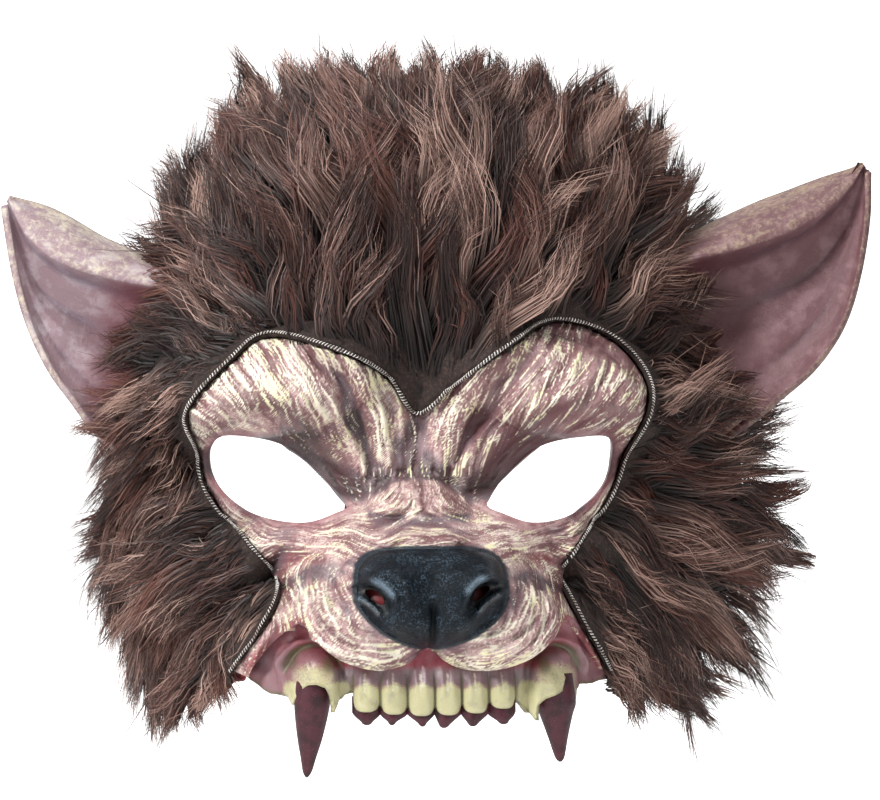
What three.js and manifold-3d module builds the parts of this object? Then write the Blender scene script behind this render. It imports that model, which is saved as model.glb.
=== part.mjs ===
// A werewolf half mask: a hollow latex face with a snarling muzzle, brows and eye openings, a black nose,
// an upper jaw with six incisors and two long fangs, two latex ears, and a shaggy fur hood round the face.
// Millimetres, +Z up. The face looks along -Y, and +X is on the right of someone who looks at it.
// The origin is on the inner face of the nose bridge, between the eyes, where the mask sits on its wearer.
import * as THREE from "three";
import { mergeVertices } from "three/addons/utils/BufferGeometryUtils.js";
import Module from "manifold-3d";

const wasm = await Module();
wasm.setup();

// Driving sizes.
const LATEX_WALL = 2.2; // thickness of the face and the ears
const SEAT_GAP = 0.3; // clearance between pieces that touch
const SNOUT_BLEND = 7; // how softly the muzzle's domes flow into each other
const JAW_SHIFT = 2.4; // the teeth stand this far to the right of the bridge
const FUR_EDGE = 2.4; // thickness of the hood along its stitched edge
const FUR_PILE = 12; // thickness of the hood in full pile
const FUR_RISE = 26; // the pile reaches its full thickness this far from the stitched edge
const ARCH = { front: 31, back: -6, halfWidth: 47, fullness: 2.6 }; // the row of teeth, seen from above

// How many cells the face has: finer in front, coarser under the fur.
const FACE_COLUMNS = 36;
const FACE_ROWS = 26;
const FINE_HALF_WIDTH = 60;
const FINE_TOP = 44;
const FINE_SHARE = 3.2;

// The head under the mask, a row for each horizontal section: how far its back edges stand to the left
// and right, and how far ahead of the origin its middle (front) and its back edges (rim) lie. fullness 2
// is an ellipse. The soft right side lies a little wider than the left.
const HEAD_SECTIONS = [
  { z: -60, left: 69, right: 76, front: -6, rim: -52, fullness: 2.3 },
  { z: -40, left: 75, right: 84, front: -2, rim: -58, fullness: 2.3 },
  { z: -20, left: 78, right: 88, front: 1, rim: -61, fullness: 2.4 },
  { z: 0, left: 78, right: 88, front: 2.2, rim: -62, fullness: 2.4 },
  { z: 24, left: 75, right: 86, front: 3, rim: -62, fullness: 2.4 },
  { z: 46, left: 70, right: 82, front: 1, rim: -61, fullness: 2.3 },
  { z: 66, left: 62, right: 77, front: -5, rim: -59, fullness: 2.2 },
  { z: 84, left: 51, right: 68, front: -16, rim: -56, fullness: 2.1 },
  { z: 96, left: 39, right: 54, front: -28, rim: -53, fullness: 2 },
  { z: 103, left: 26, right: 38, front: -38, rim: -50, fullness: 2 },
];

// The big rounded forms that stand out of the head. top is how far ahead of the origin a form reaches,
// drop how far it falls to its edge, turn its slant in degrees. A form off the middle has a mirror twin.
const DOMES = [
  { name: "bridge", x: 0, z: -19, rx: 17, rz: 17, top: 23, drop: 22, turn: 0 },
  { name: "muzzle", x: 0, z: -38, rx: 37, rz: 24, top: 38, drop: 36, turn: 0 },
  { name: "noseSeat", x: 0, z: -33, rx: 25, rz: 16, top: 46, drop: 18, turn: 0 },
  { name: "lip", x: 18, z: -43, rx: 20, rz: 15, top: 41, drop: 16, turn: -8 },
  { name: "jowl", x: 42, z: -50, rx: 13, rz: 19, top: 15, drop: 18, turn: 24 },
  { name: "cheek", x: 41, z: -22, rx: 17, rz: 9, top: 7, drop: 9, turn: -24 },
  { name: "brow", x: 36, z: 24, rx: 29, rz: 14, top: 14, drop: 13, turn: -14 },
];

// The folds of the skin: a ridge (height over 0) or groove (under 0) of this half width along a curve
// through three points of the right half, seen from the front. Each has a mirror twin.
const FOLDS = [
  { name: "browLower", x0: 52, z0: 17, x1: 30, z1: 28, x2: 15, z2: -4, width: 5.5, height: 4.5 },
  { name: "browUpper", x0: 32, z0: 36, x1: 13, z1: 32, x2: 7, z2: -4, width: 4.5, height: 4.5 },
  { name: "browValley", x0: 38, z0: 36, x1: 21, z1: 30, x2: 11.5, z2: 0, width: 2.6, height: -3.4 },
  { name: "frown", x0: 0.5, z0: 24, x1: 0.5, z1: 15, x2: 0.5, z2: 7, width: 3, height: -4 },
  { name: "browOuter", x0: 62, z0: 13, x1: 59, z1: 19, x2: 50, z2: 17, width: 4, height: 3.5 },
  { name: "eyeHollow", x0: 50, z0: 12.5, x1: 33, z1: 12, x2: 19, z2: -6, width: 4, height: -5 },
  { name: "snarlUpper", x0: 27, z0: -16, x1: 14, z1: -8, x2: 0, z2: -9, width: 3.2, height: 3.6 },
  { name: "snarlLower", x0: 45, z0: -24, x1: 26, z1: -12, x2: 0, z2: -17, width: 3.4, height: 3.4 },
  { name: "snarlCrease", x0: 30, z0: -19, x1: 14, z1: -12, x2: 0, z2: -13, width: 1.8, height: -2.6 },
  { name: "cheekCrease", x0: 41, z0: -28, x1: 33, z1: -22, x2: 24, z2: -24, width: 3, height: -5.5 },
  { name: "whiskerFold", x0: 31, z0: -28, x1: 29, z1: -43, x2: 14, z2: -50, width: 2.2, height: 1.8 },
  { name: "lipRoll", x0: 37, z0: -41, x1: 26, z1: -56, x2: 5, z2: -53, width: 2.6, height: 1.6 },
  { name: "cleft", x0: 0.2, z0: -40, x1: 0.2, z1: -47, x2: 0.2, z2: -54, width: 2, height: -5 },
  { name: "mouthFold", x0: 36, z0: -37, x1: 43, z1: -44, x2: 48, z2: -57, width: 3.6, height: 4 },
];

// One eye opening, seen from the front, round from its inner corner. The other is its mirror twin.
const EYE_OUTLINE = [
  { x: 19.4, z: -9.8 },
  { x: 24.8, z: -2.8 },
  { x: 35.5, z: 6.4 },
  { x: 46.5, z: 9.2 },
  { x: 55.2, z: 8.8 },
  { x: 57, z: 3.2 },
  { x: 54.6, z: -4.4 },
  { x: 45.4, z: -12 },
  { x: 32, z: -14.6 },
  { x: 23.4, z: -12 },
];
const EYE_STEPS = 22;

// The stitched edge of the hood round the face, from the bottom of the left cheek over the brows.
const FACE_OPENING = [
  { at: "left jaw", x: -49, z: -56 },
  { at: "left cheek corner", x: -38, z: -31.5 },
  { at: "under left eye", x: -46.5, z: -21 },
  { at: "left eye corner", x: -57.5, z: -5 },
  { at: "beside left eye", x: -60, z: 6 },
  { at: "left temple", x: -63.5, z: 15.5 },
  { at: "left brow rise", x: -51.5, z: 30 },
  { at: "left brow top", x: -42, z: 36.6 },
  { at: "left brow fall", x: -23, z: 32.6 },
  { at: "peak, left side", x: -8, z: 25.6 },
  { at: "peak", x: 0.5, z: 15.8 },
  { at: "peak, right side", x: 9.6, z: 23 },
  { at: "right brow fall", x: 24.5, z: 33.6 },
  { at: "right brow top", x: 41.5, z: 41.8 },
  { at: "right brow rise", x: 59, z: 35 },
  { at: "right temple", x: 66, z: 23 },
  { at: "beside right eye", x: 60.5, z: 5.5 },
  { at: "right eye corner", x: 55.5, z: -8 },
  { at: "under right eye", x: 45, z: -21 },
  { at: "right cheek corner", x: 40.3, z: -30.5 },
  { at: "right jaw", x: 52, z: -56 },
];
const OPENING_STEPS = 48;
const BELOW_MASK = -80;

// The mouth: the upper lip's edge from the middle to its corner, then the inner edge of the mouth fold.
const LIP_LINE = [
  { x: 0, z: -49.4 },
  { x: 2.6, z: -52.2 },
  { x: 8, z: -54.6 },
  { x: 17, z: -54.8 },
  { x: 26, z: -52 },
  { x: 32.5, z: -47 },
  { x: 36.6, z: -41.6 },
  { x: 40, z: -46 },
  { x: 44.5, z: -56 },
  { x: 45.5, z: -64 },
];

// The ears as they stand, seen from the front: a row for each station from root to tip, with the upper
// edge, the fold between the rolled band and the cup, and the outer edge. depth is how deep the cup is.
const EARS = [
  {
    name: "ear_left", rootAhead: -34, tipAhead: -43,
    stations: [
      { topX: -65.8, topZ: 58.6, foldX: -65.8, foldZ: 50.4, outerX: -74, outerZ: 2.1, depth: 7 },
      { topX: -76.1, topZ: 62.7, foldX: -76.6, foldZ: 52.9, outerX: -85.3, outerZ: 8.2, depth: 9 },
      { topX: -84.3, topZ: 66.8, foldX: -86.4, foldZ: 55, outerX: -93.5, outerZ: 19, depth: 9 },
      { topX: -92.5, topZ: 71.3, foldX: -95.1, foldZ: 57.6, outerX: -100.7, outerZ: 29.3, depth: 8 },
      { topX: -100.7, topZ: 75, foldX: -103.3, foldZ: 62.2, outerX: -106.3, outerZ: 41.6, depth: 6.5 },
      { topX: -107.7, topZ: 77.3, foldX: -109, foldZ: 68.4, outerX: -110.2, outerZ: 56, depth: 4 },
      { topX: -112.7, topZ: 78.7, foldX: -113.1, foldZ: 77.1, outerX: -113.3, outerZ: 75, depth: 1 },
    ],
  },
  {
    name: "ear_right", rootAhead: -34, tipAhead: -36,
    stations: [
      { topX: 72, topZ: 62.7, foldX: 72, foldZ: 57.6, outerX: 82.2, outerZ: 4.1, depth: 8 },
      { topX: 82.2, topZ: 67.8, foldX: 84.3, foldZ: 60.7, outerX: 95.6, outerZ: 11.3, depth: 10 },
      { topX: 92.5, topZ: 73.4, foldX: 95.6, foldZ: 63.2, outerX: 107.4, outerZ: 20.6, depth: 10 },
      { topX: 102.8, topZ: 78.1, foldX: 105.9, foldZ: 66.6, outerX: 117.2, outerZ: 29.3, depth: 9 },
      { topX: 113.1, topZ: 81.5, foldX: 115.7, foldZ: 70.9, outerX: 125.2, outerZ: 40.1, depth: 8 },
      { topX: 122.3, topZ: 84.7, foldX: 123.4, foldZ: 76.1, outerX: 130.6, outerZ: 55.5, depth: 6 },
      { topX: 129.5, topZ: 87.2, foldX: 129.5, foldZ: 82.2, outerX: 133.2, outerZ: 72, depth: 3 },
      { topX: 132.8, topZ: 89, foldX: 133.2, foldZ: 88, outerX: 133.6, outerZ: 85.9, depth: 1 },
    ],
  },
];
const EAR_ROWS = 9;

// The hood's locks, a row for each tier: its height, how far round the head from the middle (0) to the
// back edge (1) the first one stands, how many stand on each side, their length and width, how far they
// lift off the hood, and how far their tips sink.
const LOCK_TIERS = [
  { z: 97, first: 0.1, perSide: 2, length: 24, width: 17, lift: 0.1, sink: 0 },
  { z: 84, first: 0.04, perSide: 3, length: 30, width: 17, lift: 0.2, sink: 0 },
  { z: 64, first: 0.1, perSide: 3, length: 32, width: 17, lift: 0.2, sink: 0 },
  { z: 22, first: 0.76, perSide: 2, length: 26, width: 15, lift: 0.3, sink: 1 },
  { z: 3, first: 0.72, perSide: 2, length: 28, width: 15, lift: 0.35, sink: 2 },
  { z: -15, first: 0.66, perSide: 3, length: 28, width: 14, lift: 0.35, sink: 4 },
  { z: -33, first: 0.6, perSide: 3, length: 28, width: 14, lift: 0.35, sink: 9 },
  { z: -47, first: 0.62, perSide: 3, length: 27, width: 13, lift: 0.25, sink: 15 },
];
const LEFT_LOCKS = 0.8; // the left locks are this share of the table's length
const LOCK_SIDES = 3;
const LOCK_STEPS = 2;
const FLOW_CENTRE = { x: 0, z: -8 }; // the hair lies away from this point of the face

// Small helpers of number and shape.
const mix = (a, b, share) => a + (b - a) * share;
const clamp01 = (v) => Math.min(1, Math.max(0, v));
const smoothStep = (from, to, v) => {
  const s = clamp01((v - from) / (to - from));
  return s * s * (3 - 2 * s);
};

// A value between the rows of a table, on a smooth curve through them.
function between(rows, key, at, name) {
  const last = rows.length - 1;
  let i = rows.findIndex((row, n) => n < last && at <= rows[n + 1][key]);
  if (i < 0) i = last - 1;
  const [a, b] = [rows[i], rows[i + 1]];
  const before = rows[Math.max(i - 1, 0)];
  const after = rows[Math.min(i + 2, last)];
  const span = b[key] - a[key];
  const s = (at - a[key]) / span;
  const slopeA = (span * (b[name] - before[name])) / (b[key] - before[key]);
  const slopeB = (span * (after[name] - a[name])) / (after[key] - a[key]);
  const [s2, s3] = [s * s, s * s * s];
  return (
    (2 * s3 - 3 * s2 + 1) * a[name] + (s3 - 2 * s2 + s) * slopeA +
    (3 * s2 - 2 * s3) * b[name] + (s3 - s2) * slopeB
  );
}

const softMax = (a, b, blend) => {
  const h = Math.max(blend - Math.abs(a - b), 0) / blend;
  return Math.max(a, b) + (h * h * blend) / 4;
};

// How far ahead of the origin a dome stands at a point of the front view.
function domeAhead(dome, x, z) {
  const turn = THREE.MathUtils.degToRad(dome.turn);
  const dx = (dome.x === 0 ? x : Math.abs(x)) - dome.x;
  const dz = z - dome.z;
  const u = (dx * Math.cos(turn) + dz * Math.sin(turn)) / dome.rx;
  const w = (dz * Math.cos(turn) - dx * Math.sin(turn)) / dome.rz;
  const q = u * u + w * w;
  return dome.top - dome.drop * (1 - Math.sqrt(Math.max(0, 1 - q)) + 1.5 * Math.max(0, q - 1));
}

// How much a fold adds at a point of the front view.
function foldHeight(fold, x, z) {
  const steps = 10;
  let nearest = Infinity;
  let shareThere = 0;
  for (let n = 0; n <= steps; n++) {
    const s = n / steps;
    const [p, q, r] = [(1 - s) * (1 - s), 2 * s * (1 - s), s * s];
    const px = p * fold.x0 + q * fold.x1 + r * fold.x2;
    const pz = p * fold.z0 + q * fold.z1 + r * fold.z2;
    const gap = Math.hypot(Math.abs(x) - px, z - pz);
    if (gap < nearest) [nearest, shareThere] = [gap, s];
  }
  const taper = 0.35 + 0.65 * Math.sin(Math.PI * Math.min(1, 0.12 + shareThere * 0.8));
  return fold.height * taper * Math.exp(-((nearest / fold.width) ** 2));
}

// A point of the mask's outer skin. across runs from -1 at the left back edge to 1 at the right one.
function skinPoint(across, z, domes = DOMES, folds = FOLDS) {
  const at = (name) => between(HEAD_SECTIONS, "z", z, name);
  const sine = Math.sin((across * Math.PI) / 2);
  const x = sine * mix(at("left"), at("right"), Math.max(0, sine) ** 3);
  const fullness = at("fullness");
  const round = (1 - Math.abs(sine) ** fullness) ** (1 / fullness);
  let ahead = mix(at("rim"), at("front"), round);
  for (const dome of domes) ahead = softMax(ahead, domeAhead(dome, x, z), SNOUT_BLEND);
  const onFront = smoothStep(0.25, 0.5, round);
  for (const fold of folds) ahead += onFront * foldHeight(fold, x, z);
  return new THREE.Vector3(x, -ahead, z);
}

// Splits a run of samples into equal steps of weighted length, and gives the sample values there.
function evenly(values, lengths, count) {
  const total = lengths[lengths.length - 1];
  const out = [];
  for (let n = 0, i = 0; n <= count; n++) {
    const want = (total * n) / count;
    while (i < lengths.length - 2 && lengths[i + 1] < want) i++;
    const share = clamp01((want - lengths[i]) / (lengths[i + 1] - lengths[i]));
    out.push(mix(values[i], values[i + 1], share));
  }
  return out;
}

// The heights of the face's rows: close together where the muzzle's profile is steep.
function rowHeights() {
  const samples = 240;
  const [low, high] = [HEAD_SECTIONS[0].z, HEAD_SECTIONS[HEAD_SECTIONS.length - 1].z];
  const values = [];
  const lengths = [];
  for (let n = 0; n <= samples; n++) {
    const z = mix(low, high, n / samples);
    values.push(z);
    if (n === 0) {
      lengths.push(0);
      continue;
    }
    const step = [0.08, 0.25, 0.4].reduce(
      (sum, across) => sum + skinPoint(across, z).distanceTo(skinPoint(across, values[n - 1])) / 3, 0);
    lengths.push(lengths[n - 1] + step * (z < FINE_TOP ? FINE_SHARE : 1));
  }
  return evenly(values, lengths, FACE_ROWS);
}

// The face as rows of points from its bottom to its top, evenly spaced along each row.
function faceGrid() {
  const samples = 400;
  return rowHeights().map((z) => {
    const values = [];
    const lengths = [];
    let before = null;
    for (let n = 0; n <= samples; n++) {
      const across = mix(-1, 1, n / samples);
      const point = skinPoint(across, z);
      values.push(across);
      const fine = Math.abs(point.x) < FINE_HALF_WIDTH ? FINE_SHARE : 1;
      lengths.push(n === 0 ? 0 : lengths[n - 1] + point.distanceTo(before) * fine);
      before = point;
    }
    return evenly(values, lengths, FACE_COLUMNS).map((across) => skinPoint(across, z));
  });
}

// The outward normal at each point of a grid, smoothed over its neighbours.
function gridNormals(grid) {
  const [rows, columns] = [grid.length, grid[0].length];
  const at = (g, j, i) => g[Math.min(rows - 1, Math.max(0, j))][Math.min(columns - 1, Math.max(0, i))];
  const raw = grid.map((row, j) => row.map((_, i) => {
    const alongX = at(grid, j, i + 1).clone().sub(at(grid, j, i - 1));
    const alongZ = at(grid, j + 1, i).clone().sub(at(grid, j - 1, i));
    return alongX.cross(alongZ).normalize();
  }));
  return raw.map((row, j) => row.map((own, i) => {
    const sum = own.clone().multiplyScalar(2);
    for (const [dj, di] of [[0, 1], [0, -1], [1, 0], [-1, 0]]) sum.add(at(raw, j + dj, i + di));
    return sum.normalize();
  }));
}

// Normals averaged over their neighbours again and again, so that they stay even where the skin folds.
function softened(field, times) {
  const [rows, columns] = [field.length, field[0].length];
  const pick = (g, j, i) => g[Math.min(rows - 1, Math.max(0, j))][Math.min(columns - 1, Math.max(0, i))];
  let soft = field;
  for (let n = 0; n < times; n++) {
    const from = soft;
    soft = from.map((row, j) => row.map((own, i) => {
      const sum = own.clone();
      for (const [dj, di] of [[0, 1], [0, -1], [1, 0], [-1, 0]]) sum.add(pick(from, j + dj, i + di));
      return sum.normalize();
    }));
  }
  return soft;
}

// A grid moved out along its normals, by one distance or by what a function says for each point.
function moved(grid, normals, distance) {
  const by = typeof distance === "function" ? distance : () => distance;
  return grid.map((row, j) => row.map((p, i) => p.clone().addScaledVector(normals[j][i], by(p))));
}

// A solid from a closed geometry, whichever way round its faces are listed.
function solid(geometry) {
  const bare = geometry.clone();
  for (const name of ["normal", "uv"]) if (bare.hasAttribute(name)) bare.deleteAttribute(name);
  const merged = mergeVertices(bare, 1e-4);
  const make = (triVerts) => new wasm.Manifold(new wasm.Mesh({
    numProp: 3, vertProperties: merged.attributes.position.array, triVerts,
  }));
  const triVerts = new Uint32Array(merged.index.array);
  const made = make(triVerts);
  if (made.volume() > 0) return made;
  for (let n = 0; n < triVerts.length; n += 3) {
    [triVerts[n + 1], triVerts[n + 2]] = [triVerts[n + 2], triVerts[n + 1]];
  }
  return make(triVerts);
}

// Which diagonal splits each cell of a grid: the one along a fold's crest, so that folds stay crisp.
function cellSplits(points) {
  const flatness = (a, b, c, d) => {
    const one = b.clone().sub(a).cross(c.clone().sub(a)).normalize();
    const two = c.clone().sub(a).cross(d.clone().sub(a)).normalize();
    return one.dot(two);
  };
  return points.slice(1).map((upper, j) => upper.slice(1).map((c, i) => {
    const [a, b, d] = [points[j][i], points[j][i + 1], upper[i]];
    return flatness(a, b, c, d) < flatness(b, c, d, a);
  }));
}

// The solid between two grids of the same size.
function sheet(front, back, splits = null) {
  const [rows, columns] = [front.length, front[0].length];
  const positions = [...front.flat(), ...back.flat()].flatMap((p) => [p.x, p.y, p.z]);
  const shift = rows * columns;
  const index = [];
  const quad = (a, b, c, d) => index.push(a, b, c, a, c, d);
  for (let j = 0; j < rows - 1; j++) {
    for (let i = 0; i < columns - 1; i++) {
      const a = j * columns + i;
      const cell = [a, a + 1, a + columns + 1, a + columns];
      if (splits && splits[j][i]) cell.push(cell.shift());
      const [p, q, r, t] = cell;
      quad(p, q, r, t);
      index.push(shift + p, shift + r, shift + q, shift + p, shift + t, shift + r);
    }
  }
  for (let i = 0; i < columns - 1; i++) {
    const top = (rows - 1) * columns + i;
    quad(i + 1, i, shift + i, shift + i + 1);
    quad(top, top + 1, shift + top + 1, shift + top);
  }
  for (let j = 0; j < rows - 1; j++) {
    const [left, right] = [j * columns, j * columns + columns - 1];
    quad(left, left + columns, shift + left + columns, shift + left);
    quad(right + columns, right, shift + right, shift + right + columns);
  }
  const geometry = new THREE.BufferGeometry();
  geometry.setAttribute("position", new THREE.BufferAttribute(new Float32Array(positions), 3));
  geometry.setIndex(index);
  return solid(geometry);
}

// A straight cutter with an outline of the front view, from one y to another.
function cutterAlongY(outline, fromY, toY) {
  const shape = new THREE.Shape(outline.map((p) => new THREE.Vector2(p.x, p.z)));
  const geometry = new THREE.ExtrudeGeometry(shape, { depth: toY - fromY, bevelEnabled: false });
  geometry.rotateX(Math.PI / 2).translate(0, toY, 0);
  return solid(geometry);
}

// Points along a smooth curve through the rows of an outline table.
function smoothOutline(rows, closed, steps) {
  const curve = new THREE.CatmullRomCurve3(
    rows.map((row) => new THREE.Vector3(row.x, 0, row.z)), closed, "centripetal");
  const points = curve.getPoints(steps);
  return closed ? points.slice(0, -1) : points;
}

const mirrored = (points) => points.map((p) => ({ x: -p.x, z: p.z }));

function geometryOf(made) {
  const mesh = made.getMesh();
  const geometry = new THREE.BufferGeometry();
  geometry.setAttribute("position", new THREE.BufferAttribute(new Float32Array(mesh.vertProperties), 3));
  geometry.setIndex(new THREE.BufferAttribute(new Uint32Array(mesh.triVerts), 1));
  geometry.computeVertexNormals();
  return geometry;
}

const grid = faceGrid();
const normals = gridNormals(grid);
const splits = cellSplits(grid);
const smoothNormals = softened(normals, 10);
const openingEdge = smoothOutline(FACE_OPENING, false, OPENING_STEPS);
const eyeOutline = smoothOutline(EYE_OUTLINE, true, EYE_STEPS);

// A closed outline, listed clockwise, with each point moved outward by a distance.
function grownOutline(points, by) {
  const count = points.length;
  return points.map((p, n) => {
    const [a, b] = [points[(n + count - 1) % count], points[(n + 1) % count]];
    const run = Math.hypot(b.x - a.x, b.z - a.z);
    return { x: p.x - (by * (b.z - a.z)) / run, z: p.z + (by * (b.x - a.x)) / run };
  });
}

// The outline of the mouth, closed under the mask. grow widens it.
function mouthOutline(grow) {
  const half = smoothOutline(LIP_LINE, false, 16);
  const right = half.map((p) => ({ x: p.x + JAW_SHIFT, z: p.z }));
  const left = half.slice(1).map((p) => ({ x: -p.x + JAW_SHIFT, z: p.z })).reverse();
  return grownOutline([
    ...left, ...right,
    { x: right[right.length - 1].x, z: BELOW_MASK },
    { x: left[0].x, z: BELOW_MASK },
  ], grow);
}

// Everything between the skin, moved out by a distance, and a flat y: used to seat pieces on the skin.
function fromSkin(distance, flatY) {
  const skin = moved(grid, normals, distance);
  return sheet(skin, skin.map((row) => row.map((p) => new THREE.Vector3(p.x, flatY, p.z))), splits);
}

// The jaw arch seen from above: how far ahead of the origin it lies at an x.
const archAhead = (x) => mix(ARCH.back, ARCH.front,
  Math.max(0, 1 - Math.abs((x - JAW_SHIFT) / ARCH.halfWidth) ** ARCH.fullness) ** (1 / ARCH.fullness));

// The face.
function makeFace() {
  let face = sheet(grid, moved(grid, normals, -LATEX_WALL), splits);
  for (const outline of [eyeOutline, mirrored(eyeOutline)]) {
    face = face.subtract(cutterAlongY(outline, -60, 40));
  }
  face = face.subtract(cutterAlongY(mouthOutline(0), -70, 60));
  for (const hole of NOSTRILS) face = face.subtract(nostrilCutter(hole));
  return face;
}

// The nose: a soft box with a flat front and a groove, seated on the muzzle.
const NOSE = {
  x: 0.3, z: -34.6, ahead: 42, halfWidth: 21.2, halfHeight: 13.4, reach: 9.5, squareness: 0.72, taper: 0.36,
};
const NOSTRILS = [
  { x: -14.4, z: -34.4, slant: -38 },
  { x: 14.8, z: -34, slant: 38 },
];
const NOSTRIL_SIZE = { halfWidth: 3.2, halfHeight: 1.7, sides: 8 };

function nostrilCutter(hole) {
  const slant = THREE.MathUtils.degToRad(hole.slant);
  const outline = [];
  for (let n = 0; n < NOSTRIL_SIZE.sides; n++) {
    const angle = (2 * Math.PI * n) / NOSTRIL_SIZE.sides;
    const u = NOSTRIL_SIZE.halfWidth * Math.cos(angle);
    const w = NOSTRIL_SIZE.halfHeight * Math.sin(angle);
    outline.push({
      x: hole.x + u * Math.cos(slant) - w * Math.sin(slant),
      z: hole.z + u * Math.sin(slant) + w * Math.cos(slant),
    });
  }
  return cutterAlongY(outline, -70, -20);
}

function makeNose(seat) {
  const form = new THREE.SphereGeometry(1, 22, 12);
  const p = form.attributes.position;
  const squared = (v) => Math.sign(v) * Math.abs(v) ** NOSE.squareness;
  for (let n = 0; n < p.count; n++) {
    const [u, v, w] = [p.getX(n), p.getY(n), p.getZ(n)];
    const narrow = 1 - NOSE.taper * Math.max(0, -w) ** 1.5 - 0.1 * Math.max(0, w) ** 4;
    const x = NOSE.halfWidth * squared(u) * narrow;
    const z = NOSE.halfHeight * squared(w);
    const wing = 1.6 * Math.exp(-(((Math.abs(x) - 13) / 5) ** 2) - ((z - 3) / 6) ** 2);
    const groove = 1.8 * Math.exp(-((x / 1.6) ** 2)) * smoothStep(2, -5, z);
    const front = v < 0 ? 1 : 0;
    p.setXYZ(n, NOSE.x + x, -NOSE.ahead + NOSE.reach * squared(v) - front * (wing - groove), NOSE.z + z);
  }
  let nose = solid(form).subtract(seat);
  for (const hole of NOSTRILS) nose = nose.subtract(nostrilCutter(hole));
  return nose;
}

// A ball-like form with soft corners, for crowns and sockets.
function softForm(centre, radii, squareness, sides, rings) {
  const form = new THREE.SphereGeometry(1, sides, rings);
  const p = form.attributes.position;
  const squared = (v) => Math.sign(v) * Math.abs(v) ** squareness;
  for (let n = 0; n < p.count; n++) {
    p.setXYZ(n,
      centre.x + radii.x * squared(p.getX(n)),
      centre.y + radii.y * squared(p.getY(n)),
      centre.z + radii.z * squared(p.getZ(n)));
  }
  return solid(form);
}

// The upper jaw: a gum band along the arch, six incisor crowns and two fang sockets.
const GUM = { top: -44, bottom: -60.5, wall: 2.4, columns: 12, flange: 9 };
const INCISORS = { count: 6, pitch: 7.3, crownTop: -56, crownBottom: -66.6, halfDepth: 2.6 };
const SOCKET = { x: 34, z: -55, halfWidth: 7.4, halfHeight: 9, halfDepth: 6 };

const incisorX = (n) => JAW_SHIFT + (n - (INCISORS.count - 1) / 2) * INCISORS.pitch;

function makeJaw(shellSpace, fangSpaces) {
  const front = [];
  const back = [];
  for (const [z, bulge, wall] of [
    [GUM.bottom, 0, GUM.wall], [-54, -0.6, GUM.wall], [-49, -1, GUM.wall], [GUM.top, GUM.flange, GUM.wall],
  ]) {
    const frontRow = [];
    const backRow = [];
    for (let i = 0; i <= GUM.columns; i++) {
      const share = mix(-1, 1, i / GUM.columns);
      const x = JAW_SHIFT + (ARCH.halfWidth - 0.6) * Math.sin((share * Math.PI) / 2);
      const sweep = 1 - 0.1 * share * share;
      const z2 = z + 5 * smoothStep(0.45, 0.95, Math.abs(share)) * (z > -50 ? 1 : 0);
      frontRow.push(new THREE.Vector3(x, -(archAhead(x) + bulge * sweep), z2));
      backRow.push(new THREE.Vector3(x * (1 - 0.05), -(archAhead(x) - wall), z2));
    }
    front.push(frontRow);
    back.push(backRow);
  }
  let jaw = sheet(front, back);
  const crownHeight = (INCISORS.crownTop - INCISORS.crownBottom) / 2;
  for (let n = 0; n < INCISORS.count; n++) {
    const x = incisorX(n);
    const centre = { x, y: -(archAhead(x) - 0.6), z: INCISORS.crownBottom + crownHeight };
    jaw = jaw.add(softForm(centre,
      { x: INCISORS.pitch * 0.52, y: INCISORS.halfDepth, z: crownHeight }, 0.7, 8, 4));
  }
  for (const side of [-1, 1]) {
    const x = JAW_SHIFT + side * SOCKET.x;
    const centre = { x, y: -(archAhead(x) - 1), z: SOCKET.z };
    jaw = jaw.add(softForm(centre,
      { x: SOCKET.halfWidth, y: SOCKET.halfDepth, z: SOCKET.halfHeight }, 0.9, 10, 5));
  }
  for (const space of [shellSpace, ...fangSpaces]) jaw = jaw.subtract(space);
  return jaw;
}

// The points of the incisors, on one thin strip behind the crowns.
function makePoints() {
  const thick = 1.8;
  const setBack = INCISORS.halfDepth + 0.6 + SEAT_GAP;
  const perTooth = 4;
  const columns = INCISORS.count * perTooth;
  const [stripTop, between2, tip] = [-61.5, -66.2, -70.6];
  const rows = [0, 1].map((row) => {
    const points = [];
    for (let i = 0; i <= columns; i++) {
      const inTooth = ((i % perTooth) / perTooth - 0.5) * 2;
      const x = incisorX(0) + (i / perTooth - 0.5) * INCISORS.pitch;
      const pointed = 1 - Math.min(1, Math.abs(inTooth) * 1.25);
      const z = row === 1 ? stripTop : mix(between2, tip, i % perTooth === 0 ? 0 : pointed);
      points.push(new THREE.Vector3(x, -(archAhead(x) - setBack), z));
    }
    return points;
  });
  return sheet(rows, rows.map((row) => row.map((p) => new THREE.Vector3(p.x, p.y + thick, p.z))));
}

// The fangs, a row for each level: share of the length, half width, half depth.
const FANG_LEVELS = [
  { at: 0, halfWidth: 4.4, halfDepth: 3.6 },
  { at: 0.28, halfWidth: 5.1, halfDepth: 4.2 },
  { at: 0.56, halfWidth: 4.3, halfDepth: 3.7 },
  { at: 0.84, halfWidth: 2.5, halfDepth: 2.2 },
  { at: 1, halfWidth: 1, halfDepth: 0.9 },
];
const FANGS = [
  { name: "fang_left", x: -30.2, topZ: -55, tipX: -32, tipZ: -84.6 },
  { name: "fang_right", x: 36.2, topZ: -56, tipX: 38.2, tipZ: -80.6 },
];
const FANG_AHEAD = 2.6; // the fangs stand this far ahead of the arch
const FANG_SIDES = 10;

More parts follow.
